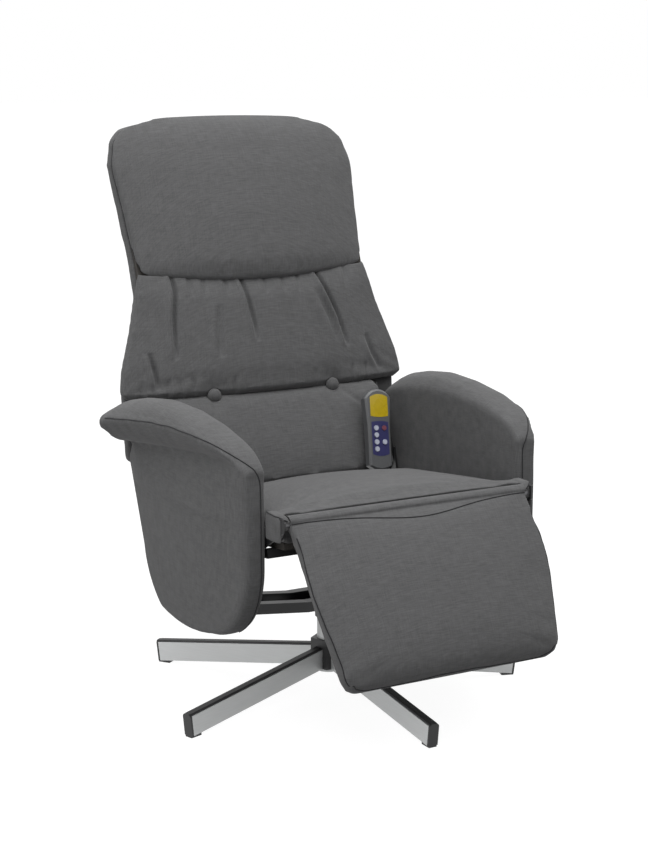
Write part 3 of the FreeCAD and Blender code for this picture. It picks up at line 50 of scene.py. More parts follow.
# Places in metres. The chair turns about an axis a little behind the middle of its box.
SWIVEL_Y = 0.005366
FOOT_PIVOT = np.array((0, -0.284 + SWIVEL_Y, 0.415))
FOOT_AHEAD = 0.148
FOOT_DROP = 0.272
FOOT_ALONG = np.array((0, -FOOT_AHEAD, -FOOT_DROP)) / math.hypot(FOOT_AHEAD, FOOT_DROP)
FOOT_OUT = np.array((0, -FOOT_DROP, FOOT_AHEAD)) / math.hypot(FOOT_AHEAD, FOOT_DROP)
HEAD_OUT = (0, -0.94, 0.34)
BACK_OUT = (0, -0.97, 0.25)
SHELL_OUT = (0, 0.97, -0.25)
SIDES = ((1, "left"), (-1, "right"))
TINY = 1e-9


# Materials, with threads, grain and wear counted per metre

THREADS = 1000
SLUBS = 50
MOTTLES = 20
WEAVE = ((THREADS, SLUBS, SLUBS), (SLUBS, THREADS, SLUBS), (SLUBS, SLUBS, THREADS))
THREAD_SHARE = 0.317
MOTTLE_SHARE = 0.05
FABRIC_SPREAD = 0.2
FABRIC_BAND = (0.38, 0.62)
FABRIC_RELIEF = 0.18
WEAR = 9
WEAR_DETAIL = 3.0
GRAIN_DETAIL = 4.0
GRAIN_SHARE = 0.6
GLOSS_SPREAD = 0.16
RELIEF_HEIGHT = 0.0004


def alike(value):
    """One value for all three axes or colours."""
    return (value,) * 3


# Hard surfaces: colour, roughness, grain along each axis, how metallic, spread of tone, relief, clear coat
Hard = namedtuple("Hard", "base rough stretch metallic spread relief coat", defaults=(0.0, 0.12, 0.05, 0.0))
HARD = {
    "frame_black": Hard((0.013, 0.013, 0.014), 0.42, alike(900), relief=0.12),
    "leg_silver": Hard((0.55, 0.56, 0.56), 0.42, (30, 30, 700), 0.35, 0.06, 0.04),
    "trim_black": Hard((0.011, 0.011, 0.012), 0.5, alike(1100), relief=0.15),
    "steel": Hard((0.12, 0.12, 0.125), 0.42, alike(200), 1.0, 0.1),
    # The board's dark brown is its wood tone darkened with painted shade, so the strip seen between headrest
    # and back cushion reads as shadow.
    "board": Hard((0.02, 0.017, 0.014), 0.75, (8, 120, 120), spread=0.3, relief=0.2),
    "box_black": Hard((0.02, 0.02, 0.02), 0.55, alike(800), relief=0.15),
    "motor_case": Hard((0.05, 0.05, 0.055), 0.5, alike(500), relief=0.1),
    "motor_weight": Hard((0.4, 0.4, 0.41), 0.35, alike(400), 1.0, 0.1),
    "remote_grey": Hard((0.085, 0.087, 0.09), 0.45, alike(1200), relief=0.12),
    "remote_yellow": Hard((0.42, 0.3, 0.004), 0.3, alike(150), coat=0.3),
    "remote_blue": Hard((0.03, 0.03, 0.1), 0.35, alike(300), spread=0.15, coat=0.2),
    "key_blue": Hard((0.4, 0.42, 0.5), 0.4, alike(600), spread=0.08),
    "key_red": Hard((0.16, 0.05, 0.07), 0.4, alike(600), spread=0.1),
}


def shader_of(name):
    material = bpy.data.materials.new(name)
    material.use_nodes = True
    return material, material.node_tree, material.node_tree.nodes["Principled BSDF"]


def set_inputs(node, values):
    for socket, value in values.items():
        node.inputs[socket].default_value = value


def noise(tree, stretch, detail=2.0):
    """Noise over the object's own place, in cycles per metre along each axis."""
    place = tree.nodes.new("ShaderNodeTexCoord")
    mapping = tree.nodes.new("ShaderNodeMapping")
    set_inputs(mapping, {"Scale": stretch})
    texture = tree.nodes.new("ShaderNodeTexNoise")
    set_inputs(texture, {"Scale": 1.0, "Detail": detail})
    tree.links.new(place.outputs["Object"], mapping.inputs["Vector"])
    tree.links.new(mapping.outputs["Vector"], texture.inputs["Vector"])
    return texture.outputs[0]


def math_node(tree, operation, first, second):
    node = tree.nodes.new("ShaderNodeMath")
    node.operation = operation
    for socket, value in zip(node.inputs, (first, second)):
        if isinstance(value, (int, float)):
            socket.default_value = value
        else:
            tree.links.new(value, socket)
    return node.outputs[0]


def plus(tree, first, second):
    return math_node(tree, "ADD", first, second)


def times(tree, first, second):
    return math_node(tree, "MULTIPLY", first, second)


def ramp(tree, factor, low, high, band=(0.3, 0.7)):
    """A colour that goes from low to high while the factor crosses the band."""
    node = tree.nodes.new("ShaderNodeValToRGB")
    for element, position, colour in zip(node.color_ramp.elements, band, (low, high)):
        element.position = position
        element.color = (*colour, 1)
    tree.links.new(factor, node.inputs["Fac"])
    return node.outputs["Color"]


def bump(tree, shader, height, strength):
    node = tree.nodes.new("ShaderNodeBump")
    set_inputs(node, {"Strength": strength, "Distance": RELIEF_HEIGHT})
    tree.links.new(height, node.inputs["Height"])
    tree.links.new(node.outputs["Normal"], shader.inputs["Normal"])


def tinted(base, factor):
    return tuple(min(1.0, channel * factor) for channel in base)


def coloured(tree, shader, tone, base, spread, **band):
    """Give a shader its base colour, darker and lighter by spread as the tone goes."""
    colour = ramp(tree, tone, tinted(base, 1 - spread), tinted(base, 1 + spread), **band)
    tree.links.new(colour, shader.inputs["Base Color"])


def fabric(name, base):
    """Linen-like weave: slubby threads along two directions on any face, over a faint mottle."""
    material, tree, shader = shader_of(name)
    threads = [noise(tree, stretch) for stretch in WEAVE]
    total = plus(tree, plus(tree, threads[0], threads[1]), threads[2])
    mottle = times(tree, noise(tree, alike(MOTTLES), WEAR_DETAIL), MOTTLE_SHARE)
    tone = plus(tree, times(tree, total, THREAD_SHARE), mottle)
    coloured(tree, shader, tone, base, FABRIC_SPREAD, band=FABRIC_BAND)
    set_inputs(shader, {"Roughness": 0.92, "Specular IOR Level": 0.2})
    set_inputs(shader, {"Sheen Weight": 0.12, "Sheen Roughness": 0.5})
    bump(tree, shader, total, FABRIC_RELIEF)
    return material


def finish(name, row):
    """A hard surface with a slightly uneven tone, uneven gloss and a fine grain."""
    material, tree, shader = shader_of(name)
    grain = noise(tree, row.stretch, GRAIN_DETAIL)
    wear = noise(tree, alike(WEAR), WEAR_DETAIL)
    tone = plus(tree, times(tree, grain, GRAIN_SHARE), times(tree, wear, 1 - GRAIN_SHARE))
    coloured(tree, shader, tone, row.base, row.spread)
    gloss = plus(tree, times(tree, wear, GLOSS_SPREAD), row.rough - GLOSS_SPREAD / 2)
    tree.links.new(gloss, shader.inputs["Roughness"])
    set_inputs(shader, {"Metallic": row.metallic, "Coat Weight": row.coat})
    bump(tree, shader, grain, row.relief)
    return material


FABRIC = fabric("fabric_grey", (0.082, 0.082, 0.083))
# The seam cords' near-black colour is painted shade: it stands for the shadow in the groove along each seam,
# while the cord itself is the seam's piping.
SEAM_SHADE = fabric("fabric_seam_shade", (0.018, 0.018, 0.019))
LOOKS = {name: finish(name, row) for name, row in HARD.items()}
LOOKS.update({"fabric_grey": FABRIC, "shell_fabric": FABRIC})
for part in frame["record"]["subparts"]:
    mesh = NODES[part["node"]].data
    mesh.materials.clear()
    mesh.materials.append(LOOKS[part["material_slot"]])


# Meshes

def vectors_of(obj, attribute):
    flat = np.zeros(len(obj.data.vertices) * 3)
    obj.data.vertices.foreach_get(attribute, flat)
    return flat.reshape(-1, 3)


def points_of(obj):
    return vectors_of(obj, "co")


def normals_of(obj):
    return vectors_of(obj, "normal")


def set_points(obj, points):
    obj.data.vertices.foreach_set("co", points.ravel())
    obj.data.update()


def settle(obj):
    """Put the result of an object's modifiers into its mesh."""
    graph = bpy.context.evaluated_depsgraph_get()
    mesh = bpy.data.meshes.new_from_object(obj.evaluated_get(graph))
    obj.modifiers.clear()
    obj.data = mesh


def dressed(obj, material):
    obj.data.materials.clear()
    obj.data.materials.append(material)
    obj.data.polygons.foreach_set("use_smooth", [True] * len(obj.data.polygons))


# Soft covers: the solids that one stands for, where its filling swells to and how far a face may lean from
# there and still be free, the pressure, the cap on its movement and how tightly it is filled.
Cover = namedtuple("Cover", "nodes front free pressure cap fill")
COVER_ROWS = {
    "headrest_cover": Cover(("headrest_pad",), HEAD_OUT, 0.25, 4.0, 0.022, 0.8),
    "back_cover": Cover(("back_cushion",), BACK_OUT, 0.3, 4.0, 0.022, 0.6),
    "lumbar_cover": Cover(("lumbar_cushion",), BACK_OUT, 0.3, 3.0, 0.022, 0.6),
    "seat_cover": Cover(("seat_cushion",), (0, 0, 1), 0.15, 3.0, 0.022, 0.8),
    "footrest_cover": Cover(("footrest_cushion",), FOOT_OUT, 0.3, 3.5, 0.022, 0.7),
    "arm_cover_left": Cover(("arm_panel_left", "arm_pad_left"), (0.6, 0, 0.8), 0.4, 1.5, 0.008, 0.8),
    "arm_cover_right": Cover(("arm_panel_right", "arm_pad_right"), (-0.6, 0, 0.8), 0.4, 1.5, 0.008, 0.8),
    "shell_cover": Cover(("back_shell",), SHELL_OUT, 0.4, 1.0, 0.006, 0.9),
}
VOXEL = 0.005
WELD = 0.00005
EDGE_CARE = 0.003
SHELL_FACTOR_CAP = 1.5
SHRINK = 0.0015
LAST_FRAME = 20
SMOOTHING = (0.6, -0.61)
SMOOTH_ROUNDS = {"headrest_cover": 40, "arm_cover_left": 16, "arm_cover_right": 16, "shell_cover": 40}
FEW_ROUNDS = 5
RELAX_SHARE = 0.5


def soft_copy(name, nodes):
    """A copy of soft solids in evenly spaced points. Thin edges are thickened only while it is remeshed."""
    obj = bpy.data.objects.new(name, bpy.data.meshes.new(name))
    SCENE.collection.objects.link(obj)
    shape = bmesh.new()
    for node in nodes:
        shape.from_mesh(NODES[node].data)
    bmesh.ops.remove_doubles(shape, verts=shape.verts, dist=WELD)
    shape.normal_update()
    factors = [min(vert.calc_shell_factor(), SHELL_FACTOR_CAP) for vert in shape.verts]
    moves = [vert.normal * EDGE_CARE * factor for vert, factor in zip(shape.verts, factors)]
    for vert, move in zip(shape.verts, moves):
        vert.co += move
    shape.to_mesh(obj.data)
    shape.free()
    remesh = obj.modifiers.new("remesh", "REMESH")
    remesh.mode = "VOXEL"
    remesh.voxel_size = VOXEL
    settle(obj)
    set_points(obj, points_of(obj) - normals_of(obj) * EDGE_CARE)
    return obj


def averaged(obj, weights):
    """Move each point towards the middle of its neighbours by each weight in turn."""
    edges = np.zeros(len(obj.data.edges) * 2, dtype=np.int64)
    obj.data.edges.foreach_get("vertices", edges)
    first, second = edges.reshape(-1, 2).T
    points = points_of(obj)
    count = np.maximum(np.bincount(edges, minlength=len(points)), 1).reshape(-1, 1)
    for weight in weights:
        total = np.zeros_like(points)
        np.add.at(total, first, points[second])
        np.add.at(total, second, points[first])
        points += weight * (total / count - points)
    set_points(obj, points)


def smooth(obj, rounds):
    """Even a surface and keep its size."""
    averaged(obj, SMOOTHING * rounds)


def relax(obj, rounds, share):
    """Soften the edges of a surface where share is above 0."""
    averaged(obj, [RELAX_SHARE * share[:, None]] * rounds)


def fill_with_air(obj, row):
    """Set a cover up as cloth under pressure, held on its frame, and return its shape before."""
    start = points_of(obj)
    normals = normals_of(obj)
    free = normals @ np.array(row.front) > row.free
    set_points(obj, start - normals * (SHRINK * free)[:, None])
    group = obj.vertex_groups.new(name="held")
    group.add(np.flatnonzero(~free).tolist(), 1.0, "REPLACE")
    cloth = obj.modifiers.new("cloth", "CLOTH")
    cloth.settings.quality = 4
    cloth.settings.mass = 0.2
    cloth.settings.tension_stiffness = 14
    cloth.settings.compression_stiffness = 10
    cloth.settings.shear_stiffness = 6
    cloth.settings.bending_stiffness = 0.4
    cloth.settings.air_damping = 4
    cloth.settings.use_pressure = True
    cloth.settings.uniform_pressure_force = row.pressure
    cloth.settings.vertex_group_mass = "held"
    cloth.settings.effector_weights.gravity = 0
    cloth.point_cache.frame_start = 1
    cloth.point_cache.frame_end = LAST_FRAME
    return start


def swell(covers):
    """Run the cloth of all covers together and cap how far each point has gone."""
    starts = {name: fill_with_air(covers[name], row) for name, row in COVER_ROWS.items()}
    for number in range(1, LAST_FRAME + 1):
        SCENE.frame_set(number)
    for cover in covers.values():
        settle(cover)
        cover.vertex_groups.clear()
    SCENE.frame_set(1)
    for name, row in COVER_ROWS.items():
        move = points_of(covers[name]) - starts[name]
        size = np.maximum(np.linalg.norm(move, axis=1, keepdims=True), TINY)
        set_points(covers[name], starts[name] + move * np.minimum(1, row.cap / size))


# Shapes that the filling alone doesn't give, in metres. A band is where a change sets in and is full.
CUSHION_HALF = 0.245
CREASE_HALF = 0.15
REMOTE_BAND = (0.03, 0.055)


def rise(values, band):
    """Smooth step from 0 at the band's start to 1 at its end, which may be the lower of the two."""
    start, end = band
    share = np.clip((values - start) / (end - start), 0, 1)
    return share * share * (3 - 2 * share)


def to_the_sides(across, middle, more, cap):
    """A move along the crease that grows from its middle to its sides, with none at the hand control."""
    remote = points_of(NODES["remote_back_shell"])[:, 0].mean()
    move = np.minimum(middle + more * (across / CREASE_HALF) ** 2, cap)
    return move * rise(np.abs(across - remote), REMOTE_BAND)


HEAD_LIFT = 0.007
HEAD_HANG = 0.017
HEAD_FOOT_BAND = (0.84, 0.77)
HEAD_REAR_HEIGHTS = (0.76, 1.07)
HEAD_REAR_DEPTHS = (0.33, 0.43)
HEAD_REAR_BAND = (0, 0.03)
HEAD_DOME = 0.01
HEAD_DOME_HALF = 0.25
HEAD_TOP_BAND = (0.98, 1.06)


def shape_headrest(obj):
    """Bow the lower edge, so that its middle hangs over the back cushion, and dome the top."""
    across, depth, height = points_of(obj).T
    bow = HEAD_LIFT - HEAD_HANG * (1 - (across / CUSHION_HALF) ** 2)
    rear = np.interp(height, HEAD_REAR_HEIGHTS, HEAD_REAR_DEPTHS)
    hanging = np.where(bow < 0, bow * rise(rear - depth, HEAD_REAR_BAND), bow)
    dome = HEAD_DOME * (1 - (across / HEAD_DOME_HALF) ** 2)
    height = height + hanging * rise(height, HEAD_FOOT_BAND) + dome * rise(height, HEAD_TOP_BAND)
    set_points(obj, np.column_stack([across, depth, height]))


BACK_LIFT = 0.003
BACK_CORNER_LIFT = 0.013
BACK_TOP_BAND = (0.7, 0.765)
BACK_DROP = 0.0015
BACK_DROP_BAND = (0.575, 0.552)
BACK_AHEAD = 0.007
BACK_FOOT_BAND = (0.575, 0.55)
BACK_FACE_BAND = (0.25, 0.23)


def shape_back(obj):
    """Lift the upper corners up behind the headrest and draw the foot down and out to its seam."""
    across, depth, height = points_of(obj).T
    lift = (BACK_LIFT + BACK_CORNER_LIFT * (across / CUSHION_HALF) ** 2) * rise(height, BACK_TOP_BAND)
    drop = BACK_DROP * rise(height, BACK_DROP_BAND)
    ahead = BACK_AHEAD * rise(height, BACK_FOOT_BAND) * rise(depth, BACK_FACE_BAND)
    set_points(obj, np.column_stack([across, depth - ahead, height + lift - drop]))


FOOT_BELLY = 0.005
FOOT_BELLY_BAND = (0.05, 0.16)
FOOT_FRONT_BELLY = 0.009
FOOT_FRONT_TOP_BAND = (0.04, 0.095)
FOOT_FRONT_END_BAND = (0.27, 0.12)
FOOT_FRONT_BAND = (0.004, 0.028)
FOOT_SIDE_BAND = (0.12, 0.2)


def shape_footrest(obj):
    """Let the sides belly out below the hinge, most of all at the front."""
    points = points_of(obj)
    down = (points - FOOT_PIVOT) @ FOOT_ALONG
    out = (points - FOOT_PIVOT) @ FOOT_OUT
    front = rise(down, FOOT_FRONT_TOP_BAND) * rise(down, FOOT_FRONT_END_BAND) * rise(out, FOOT_FRONT_BAND)
    belly = FOOT_BELLY * rise(down, FOOT_BELLY_BAND) + FOOT_FRONT_BELLY * front
    points[:, 0] += np.sign(points[:, 0]) * belly * rise(np.abs(points[:, 0]), FOOT_SIDE_BAND)
    set_points(obj, points)


LUMBAR_FOOT_BAND = (0.425, 0.392)
LUMBAR_DROP = 0.012
LUMBAR_DROP_BAND = (0.19, 0.155)
LUMBAR_AHEAD = {"middle": 0, "more": 0.006, "cap": 0.014}
LUMBAR_AHEAD_BAND = (0.2, 0.165)
LUMBAR_LIFT = 0.002
LUMBAR_LIFT_BAND = (0.52, 0.54)
LUMBAR_OUT = 0.006
LUMBAR_OUT_BAND = (0.51, 0.54)
LUMBAR_FACE_BAND = (0.24, 0.22)


def shape_lumbar(obj):
    """Draw the foot down and ahead to the seat, and the top up and out to the back cushion's seam."""
    across, depth, height = points_of(obj).T
    foot = rise(height, LUMBAR_FOOT_BAND)
    drop = LUMBAR_DROP * foot * rise(depth, LUMBAR_DROP_BAND)
    ahead = to_the_sides(across, **LUMBAR_AHEAD) * foot * rise(depth, LUMBAR_AHEAD_BAND)
    lift = LUMBAR_LIFT * rise(height, LUMBAR_LIFT_BAND)
    out = LUMBAR_OUT * rise(height, LUMBAR_OUT_BAND) * rise(depth, LUMBAR_FACE_BAND)
    set_points(obj, np.column_stack([across, depth - ahead - out, height - drop + lift]))


ARM_FACE = 0.304
ARM_STRIP = 0.01
ARM_LEAST_REACH = 0.001
ARM_UNDER_BAND = (0.3, -0.3)
ARM_LOWEST = 0.4
ARM_ROUND_SHARE = 1.08
ARM_BELLY_SHARE = 0.5


def shape_arm(obj):
    """Fill the underside of the arm rest's overhang to a roll."""
    points = points_of(obj)
    normals = normals_of(obj)
    out = np.abs(points[:, 0])
    tip = np.zeros(len(points))
    for low in np.arange(points[:, 1].min(), points[:, 1].max(), ARM_STRIP):
        strip = (points[:, 1] >= low) & (points[:, 1] < low + ARM_STRIP)
        tip[strip] = out[strip].max()
    reach = np.maximum(tip - ARM_FACE, 0)
    share = np.clip((out - ARM_FACE) / np.maximum(reach, ARM_LEAST_REACH), 0, 1)
    under = rise(normals[:, 2], ARM_UNDER_BAND) * (points[:, 2] > ARM_LOWEST)
    belly = np.sqrt(np.maximum(0, share * (ARM_ROUND_SHARE - share)))
    points += normals * (ARM_BELLY_SHARE * reach * belly * under)[:, None]
    set_points(obj, points)


SKIRT_TOP = 0.425
SKIRT_FRONT = -0.29
SKIRT_HALF = 0.2515
LINK_INNER = 0.2443
LIP_TOP = 0.428
LIP_SIDE_BAND = (0.252, 0.24)
LIP_AHEAD = 0.004
LIP_AHEAD_BAND = (-0.235, -0.258)
LIP_HEIGHT_BAND = (0.422, 0.429)
LIP_DOWN_SHARE = 0.7
LIP_DOWN_BAND = (-0.225, -0.262)
CHEEK_BAND = (-0.264, -0.304)
CHEEK_REAR = 0.014
CHEEK_IN = 0.004
CHEEK_IN_BAND = (0.255, 0.262)
CHEEK_DOWN = 0.009
CHEEK_DOWN_BAND = (0.39, 0.43)
SEAT_LONGER = {"middle": 0.003, "more": 0.0055, "cap": 0.01}
SEAT_LONGER_BAND = (0.09, 0.125)
SEAT_REAR = 0.1335
CORNER_SIDE_BAND = (0.236, 0.25)
CORNER_FRONT_BAND = (-0.236, -0.25)
CORNER_ROUNDS = 8


def shape_seat(obj):
    """Clear the links, lower the front edge to the footrest's roll, round the cheeks, reach the lumbar."""
    across, depth, height = points_of(obj).T
    side = np.abs(across)
    skirt = (height < SKIRT_TOP) & (depth > SKIRT_FRONT) & (side < SKIRT_HALF)
    inside = rise(side, LIP_SIDE_BAND)
    ahead = LIP_AHEAD * rise(depth, LIP_AHEAD_BAND) * rise(height, LIP_HEIGHT_BAND) * inside
    down = LIP_DOWN_SHARE * np.maximum(0, height - LIP_TOP) * rise(depth, LIP_DOWN_BAND) * inside
    cheek = rise(depth, CHEEK_BAND)
    narrow = np.sign(across) * CHEEK_IN * cheek * rise(side, CHEEK_IN_BAND)
    droop = CHEEK_DOWN * cheek * cheek * rise(height, CHEEK_DOWN_BAND)
    longer = to_the_sides(across, **SEAT_LONGER) * rise(depth, SEAT_LONGER_BAND)
    new_across = np.where(skirt, np.clip(across, -LINK_INNER, LINK_INNER), across) - narrow
    new_depth = np.minimum(depth - ahead + CHEEK_REAR * cheek + longer, SEAT_REAR)
    set_points(obj, np.column_stack([new_across, new_depth, height - down - droop]))
    relax(obj, CORNER_ROUNDS, rise(side, CORNER_SIDE_BAND) * rise(depth, CORNER_FRONT_BAND))


HINGE_ROLL = 0.0145
HINGE_BORE = 0.0075
HINGE_HALF = 0.246
HINGE_FRONT_DEGREES = (5, 35)
HINGE_REAR_DEGREES = (160, 125)


def shape_hinge_roll(obj):
    """Fill the roll about the footrest's hinge, up to the height of the seat's front edge."""
    points = points_of(obj)
    off = points - FOOT_PIVOT
    reach = np.maximum(np.hypot(off[:, 1], off[:, 2]), TINY)
    turn = np.degrees(np.arctan2(off[:, 2], -off[:, 1]))
    outside = (reach > HINGE_BORE) & (np.abs(points[:, 0]) < HINGE_HALF)
    share = rise(turn, HINGE_FRONT_DEGREES) * rise(turn, HINGE_REAR_DEGREES) * outside
    grow = np.maximum(0, HINGE_ROLL - reach) * share / reach
    points[:, 1:] += off[:, 1:] * grow[:, None]
    set_points(obj, points)


ARM_FRONT_BAND = (-0.1, -0.16)
ARM_FRONT_ROUNDS = 12
TOP_SIDE_BAND = (0.13, 0.2)
TOP_BAND = (0.96, 1.02)
TOP_ROUNDS = 16


def soften_edges(covers):
    """Round the fronts of the arms and the upper corners of headrest and shell."""
    for name in ("arm_cover_left", "arm_cover_right"):
        relax(covers[name], ARM_FRONT_ROUNDS, rise(points_of(covers[name])[:, 1], ARM_FRONT_BAND))
    for name in ("headrest_cover", "shell_cover"):
        points = points_of(covers[name])
        corner = rise(np.abs(points[:, 0]), TOP_SIDE_BAND) * rise(points[:, 2], TOP_BAND)
        relax(covers[name], TOP_ROUNDS, corner)


def refine(name, cover):
    """Even a cover, make its mesh finer and dress it."""
    smooth(cover, SMOOTH_ROUNDS.get(name, FEW_ROUNDS))
    finer = cover.modifiers.new("finer", "SUBSURF")
    finer.levels = 1
    finer.render_levels = 1
    settle(cover)
    dressed(cover, FABRIC)


COVERS = {name: soft_copy(name, row.nodes) for name, row in COVER_ROWS.items()}
shape_headrest(COVERS["headrest_cover"])
shape_back(COVERS["back_cover"])
shape_footrest(COVERS["footrest_cover"])
shape_lumbar(COVERS["lumbar_cover"])
swell(COVERS)
shape_arm(COVERS["arm_cover_left"])
shape_arm(COVERS["arm_cover_right"])
soften_edges(COVERS)
for name, cover in COVERS.items():
    refine(name, cover)
shape_seat(COVERS["seat_cover"])
shape_hinge_roll(COVERS["footrest_cover"])


# Folds in the fabric: paths across and up, as seen from the front, then depth and width

BACK_FOLDS = (
    (((-0.185, 0.8), (-0.187, 0.748), (-0.197, 0.69), (-0.203, 0.62)), 0.012, 0.0045),
    (((-0.046, 0.8), (-0.04, 0.739), (-0.033, 0.684), (-0.03, 0.645)), 0.01, 0.0042),
    (((-0.1, 0.72), (-0.103, 0.699), (-0.108, 0.656), (-0.112, 0.62)), 0.0055, 0.007),
    (((0.118, 0.8), (0.14, 0.742), (0.162, 0.685), (0.178, 0.62)), 0.013, 0.0045),
    (((0.118, 0.74), (0.143, 0.68), (0.153, 0.635)), 0.0045, 0.007),
    (((0.225, 0.64), (0.239, 0.6), (0.256, 0.567)), 0.007, 0.006),
    (((-0.252, 0.635), (-0.249, 0.61), (-0.243, 0.565)), 0.01, 0.005),
)
LUMBAR_FOLDS = (
    (((0.1, 0.535), (0.108, 0.505), (0.112, 0.47)), 0.003, 0.008),
    (((0.15, 0.54), (0.165, 0.525), (0.185, 0.51)), 0.003, 0.006),
)
# Short tucks in a row: places across, height at the seam and at the end, lean, depth and width
Tucks = namedtuple("Tucks", "places seam end lean depth width")
GATHERS = Tucks((-0.15, -0.122, -0.075, 0.01, 0.05, 0.085, 0.2), 0.785, 0.735, -0.004, 0.003, 0.005)
PUCKERS = Tucks((-0.275, -0.225, -0.2, -0.175, -0.09, 0.09, 0.18, 0.215), 0.545, 0.585, 0.003, 0.0028, 0.005)
FOLD_LIP_SHARE = 0.45
FOLD_LIP_PLACE_SHARE = 1.9
FOLD_LIP_WIDTH_SHARE = 1.3
FOLD_TAPER_POWER = 0.6
FACING_GAIN = 2
TUFT_X = 0.1316
TUFT_Z = 0.547
TUFT_DEPTH = 0.006
TUFT_RADIUS = 0.03


def facing_front(normals):
    """1 where a cover looks to the front and 0 where it looks to the side or the rear."""
    return np.clip(-normals[:, 1] * FACING_GAIN, 0, 1)


def beside_path(flat, path):
    """How far each point lies beside a path and beyond its ends, and its share of the way along."""
    way = np.array(path)
    lengths = np.linalg.norm(np.diff(way, axis=0), axis=1)
    run = np.concatenate([[0], np.cumsum(lengths)])
    best = np.full(len(flat), np.inf)
    side = np.zeros(len(flat))
    along = np.zeros(len(flat))
    for start, end, before, length in zip(way, way[1:], run, lengths):
        step = (end - start) / length
        share = np.clip((flat - start) @ step / length, 0, 1)
        off = flat - start - share[:, None] * (end - start)
        gap = np.linalg.norm(off, axis=1)
        nearer = gap < best
        best[nearer] = gap[nearer]
        side[nearer] = (off[:, 0] * step[1] - off[:, 1] * step[0])[nearer]
        along[nearer] = (before + share * length)[nearer]
    beyond = np.sqrt(np.maximum(best ** 2 - side ** 2, 0))
    return side, beyond, np.clip(along / run[-1], 0, 1)


def fold(obj, path, depth, width):
    """Press a fold into the front of a cover along a path, with a raised lip beside it."""
    points = points_of(obj)
    normals = normals_of(obj)
    side, beyond, along = beside_path(points[:, [0, 2]], path)
    lip = (side - FOLD_LIP_PLACE_SHARE * width) / (FOLD_LIP_WIDTH_SHARE * width)
    dip = np.exp(-(side / width) ** 2) - FOLD_LIP_SHARE * np.exp(-lip ** 2)
    taper = np.sin(np.pi * along) ** FOLD_TAPER_POWER * np.exp(-(beyond / width) ** 2)
    set_points(obj, points - normals * (depth * dip * taper * facing_front(normals))[:, None])


def tuck(obj, row):
    for across in row.places:
        fold(obj, ((across, row.seam), (across + row.lean, row.end)), row.depth, row.width)


def dimple(obj, across):
    """Draw the front of a cover in around a button."""
    points = points_of(obj)
    gap = np.linalg.norm(points[:, [0, 2]] - np.array((across, TUFT_Z)), axis=1)
    points[:, 1] += TUFT_DEPTH * np.exp(-(gap / TUFT_RADIUS) ** 2) * facing_front(normals_of(obj))
    set_points(obj, points)


for path, depth, width in BACK_FOLDS:
    fold(COVERS["back_cover"], path, depth, width)
tuck(COVERS["back_cover"], GATHERS)
tuck(COVERS["back_cover"], PUCKERS)
for path, depth, width in LUMBAR_FOLDS:
    fold(COVERS["lumbar_cover"], path, depth, width)
for name in ("back_cover", "lumbar_cover"):
    dimple(COVERS[name], -TUFT_X)
    dimple(COVERS[name], TUFT_X)


# Seams: the spots along each, in metres, and how far its edge leans towards the second direction

SLAB = 0.004
CORD_RADIUS = 0.0013
EVEN_ROUNDS = 4
HEAD_SPOTS = np.arange(0.79, 1.04, 0.006)
HEAD_LEAN = 0.6
FOOT_SIDE_SPOTS = np.arange(0.172, 0.405, 0.006)
FOOT_SIDE_LEAN = 0.5
FOOT_END_SPOTS = np.arange(-0.19, 0.191, 0.006)
FOOT_END_LEAN = 0.4
FOOT_TOP_SPOTS = np.arange(-0.24, 0.241, 0.006)
SAG_LEAST = 0.004
SAG_MORE = 0.02
SAG_MIDDLE = 0.01
SAG_WIDTH = 0.11
ARM_SPOTS = np.arange(0.2, -0.14, -0.006) + SWIVEL_Y
ARM_LEAN = 0.35
ARM_FRONT_SPOTS = np.arange(0.5, 0.19, -0.008)
ARM_FRONT_X = 0.2715
NOSE_REACH = 0.03
NOSE_OFF = NOSE_REACH * np.array((0.4, -0.8, 0.45))
NOSE_SHARES = (0.2, 0.4, 0.6, 0.8)
SEAT_SPOTS = np.arange(-0.296, -0.245, 0.005) + SWIVEL_Y
SEAT_LEAN = 0.9
FOOT_RAY = 0.2
ARM_RAY_Y = -1


def rim(obj, axis, spots, lean):
    """The edge of a cover: at each spot along an axis, its point furthest towards lean."""
    points = points_of(obj)
    reach = points @ np.array(lean, dtype=float)
    edge = []
    for spot in spots:
        near = np.flatnonzero(np.abs(points[:, axis] - spot) < SLAB)
        edge.append(points[near[np.argmax(reach[near])]])
    return np.array(edge)


def evened(path):
    """Smooth a path between its ends."""
    for number in range(EVEN_ROUNDS):
        path[1:-1] = (path[:-2] + 2 * path[1:-1] + path[2:]) / 4
    return path


def surface_of(obj):
    shape = bmesh.new()
    shape.from_mesh(obj.data)
    tree = BVHTree.FromBMesh(shape)
    shape.free()
    return tree


def laid_on(path, cover):
    """A path in even steps, each on the nearest point of a cover."""
    run = np.concatenate([[0], np.cumsum(np.linalg.norm(np.diff(path, axis=0), axis=1))])
    stops = np.linspace(0, run[-1], int(run[-1] / SLAB))
    spots = np.column_stack([np.interp(stops, run, line) for line in path.T])
    surface = surface_of(cover)
    return np.array([surface.find_nearest(Vector(spot))[0] for spot in spots])


def sew(name, path, cover, body):
    """A sewn edge: a thin cord along a path, laid on its cover; its near-black colour is painted shade of
    the seam's groove.
    """
    path = laid_on(evened(path), cover)
    curve = bpy.data.curves.new(name, "CURVE")
    curve.dimensions = "3D"
    curve.bevel_depth = CORD_RADIUS
    curve.bevel_resolution = 2
    curve.use_fill_caps = True
    spline = curve.splines.new("POLY")
    spline.points.add(len(path) - 1)
    spline.points.foreach_set("co", np.column_stack([path, np.ones(len(path))]).ravel())
    guide = bpy.data.objects.new(name + "_guide", curve)
    SCENE.collection.objects.link(guide)
    graph = bpy.context.evaluated_depsgraph_get()
    cord = bpy.data.objects.new(name, bpy.data.meshes.new_from_object(guide.evaluated_get(graph)))
    bpy.data.objects.remove(guide)
    SCENE.collection.objects.link(cord)
    dressed(cord, SEAM_SHADE)
    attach(cord, body)


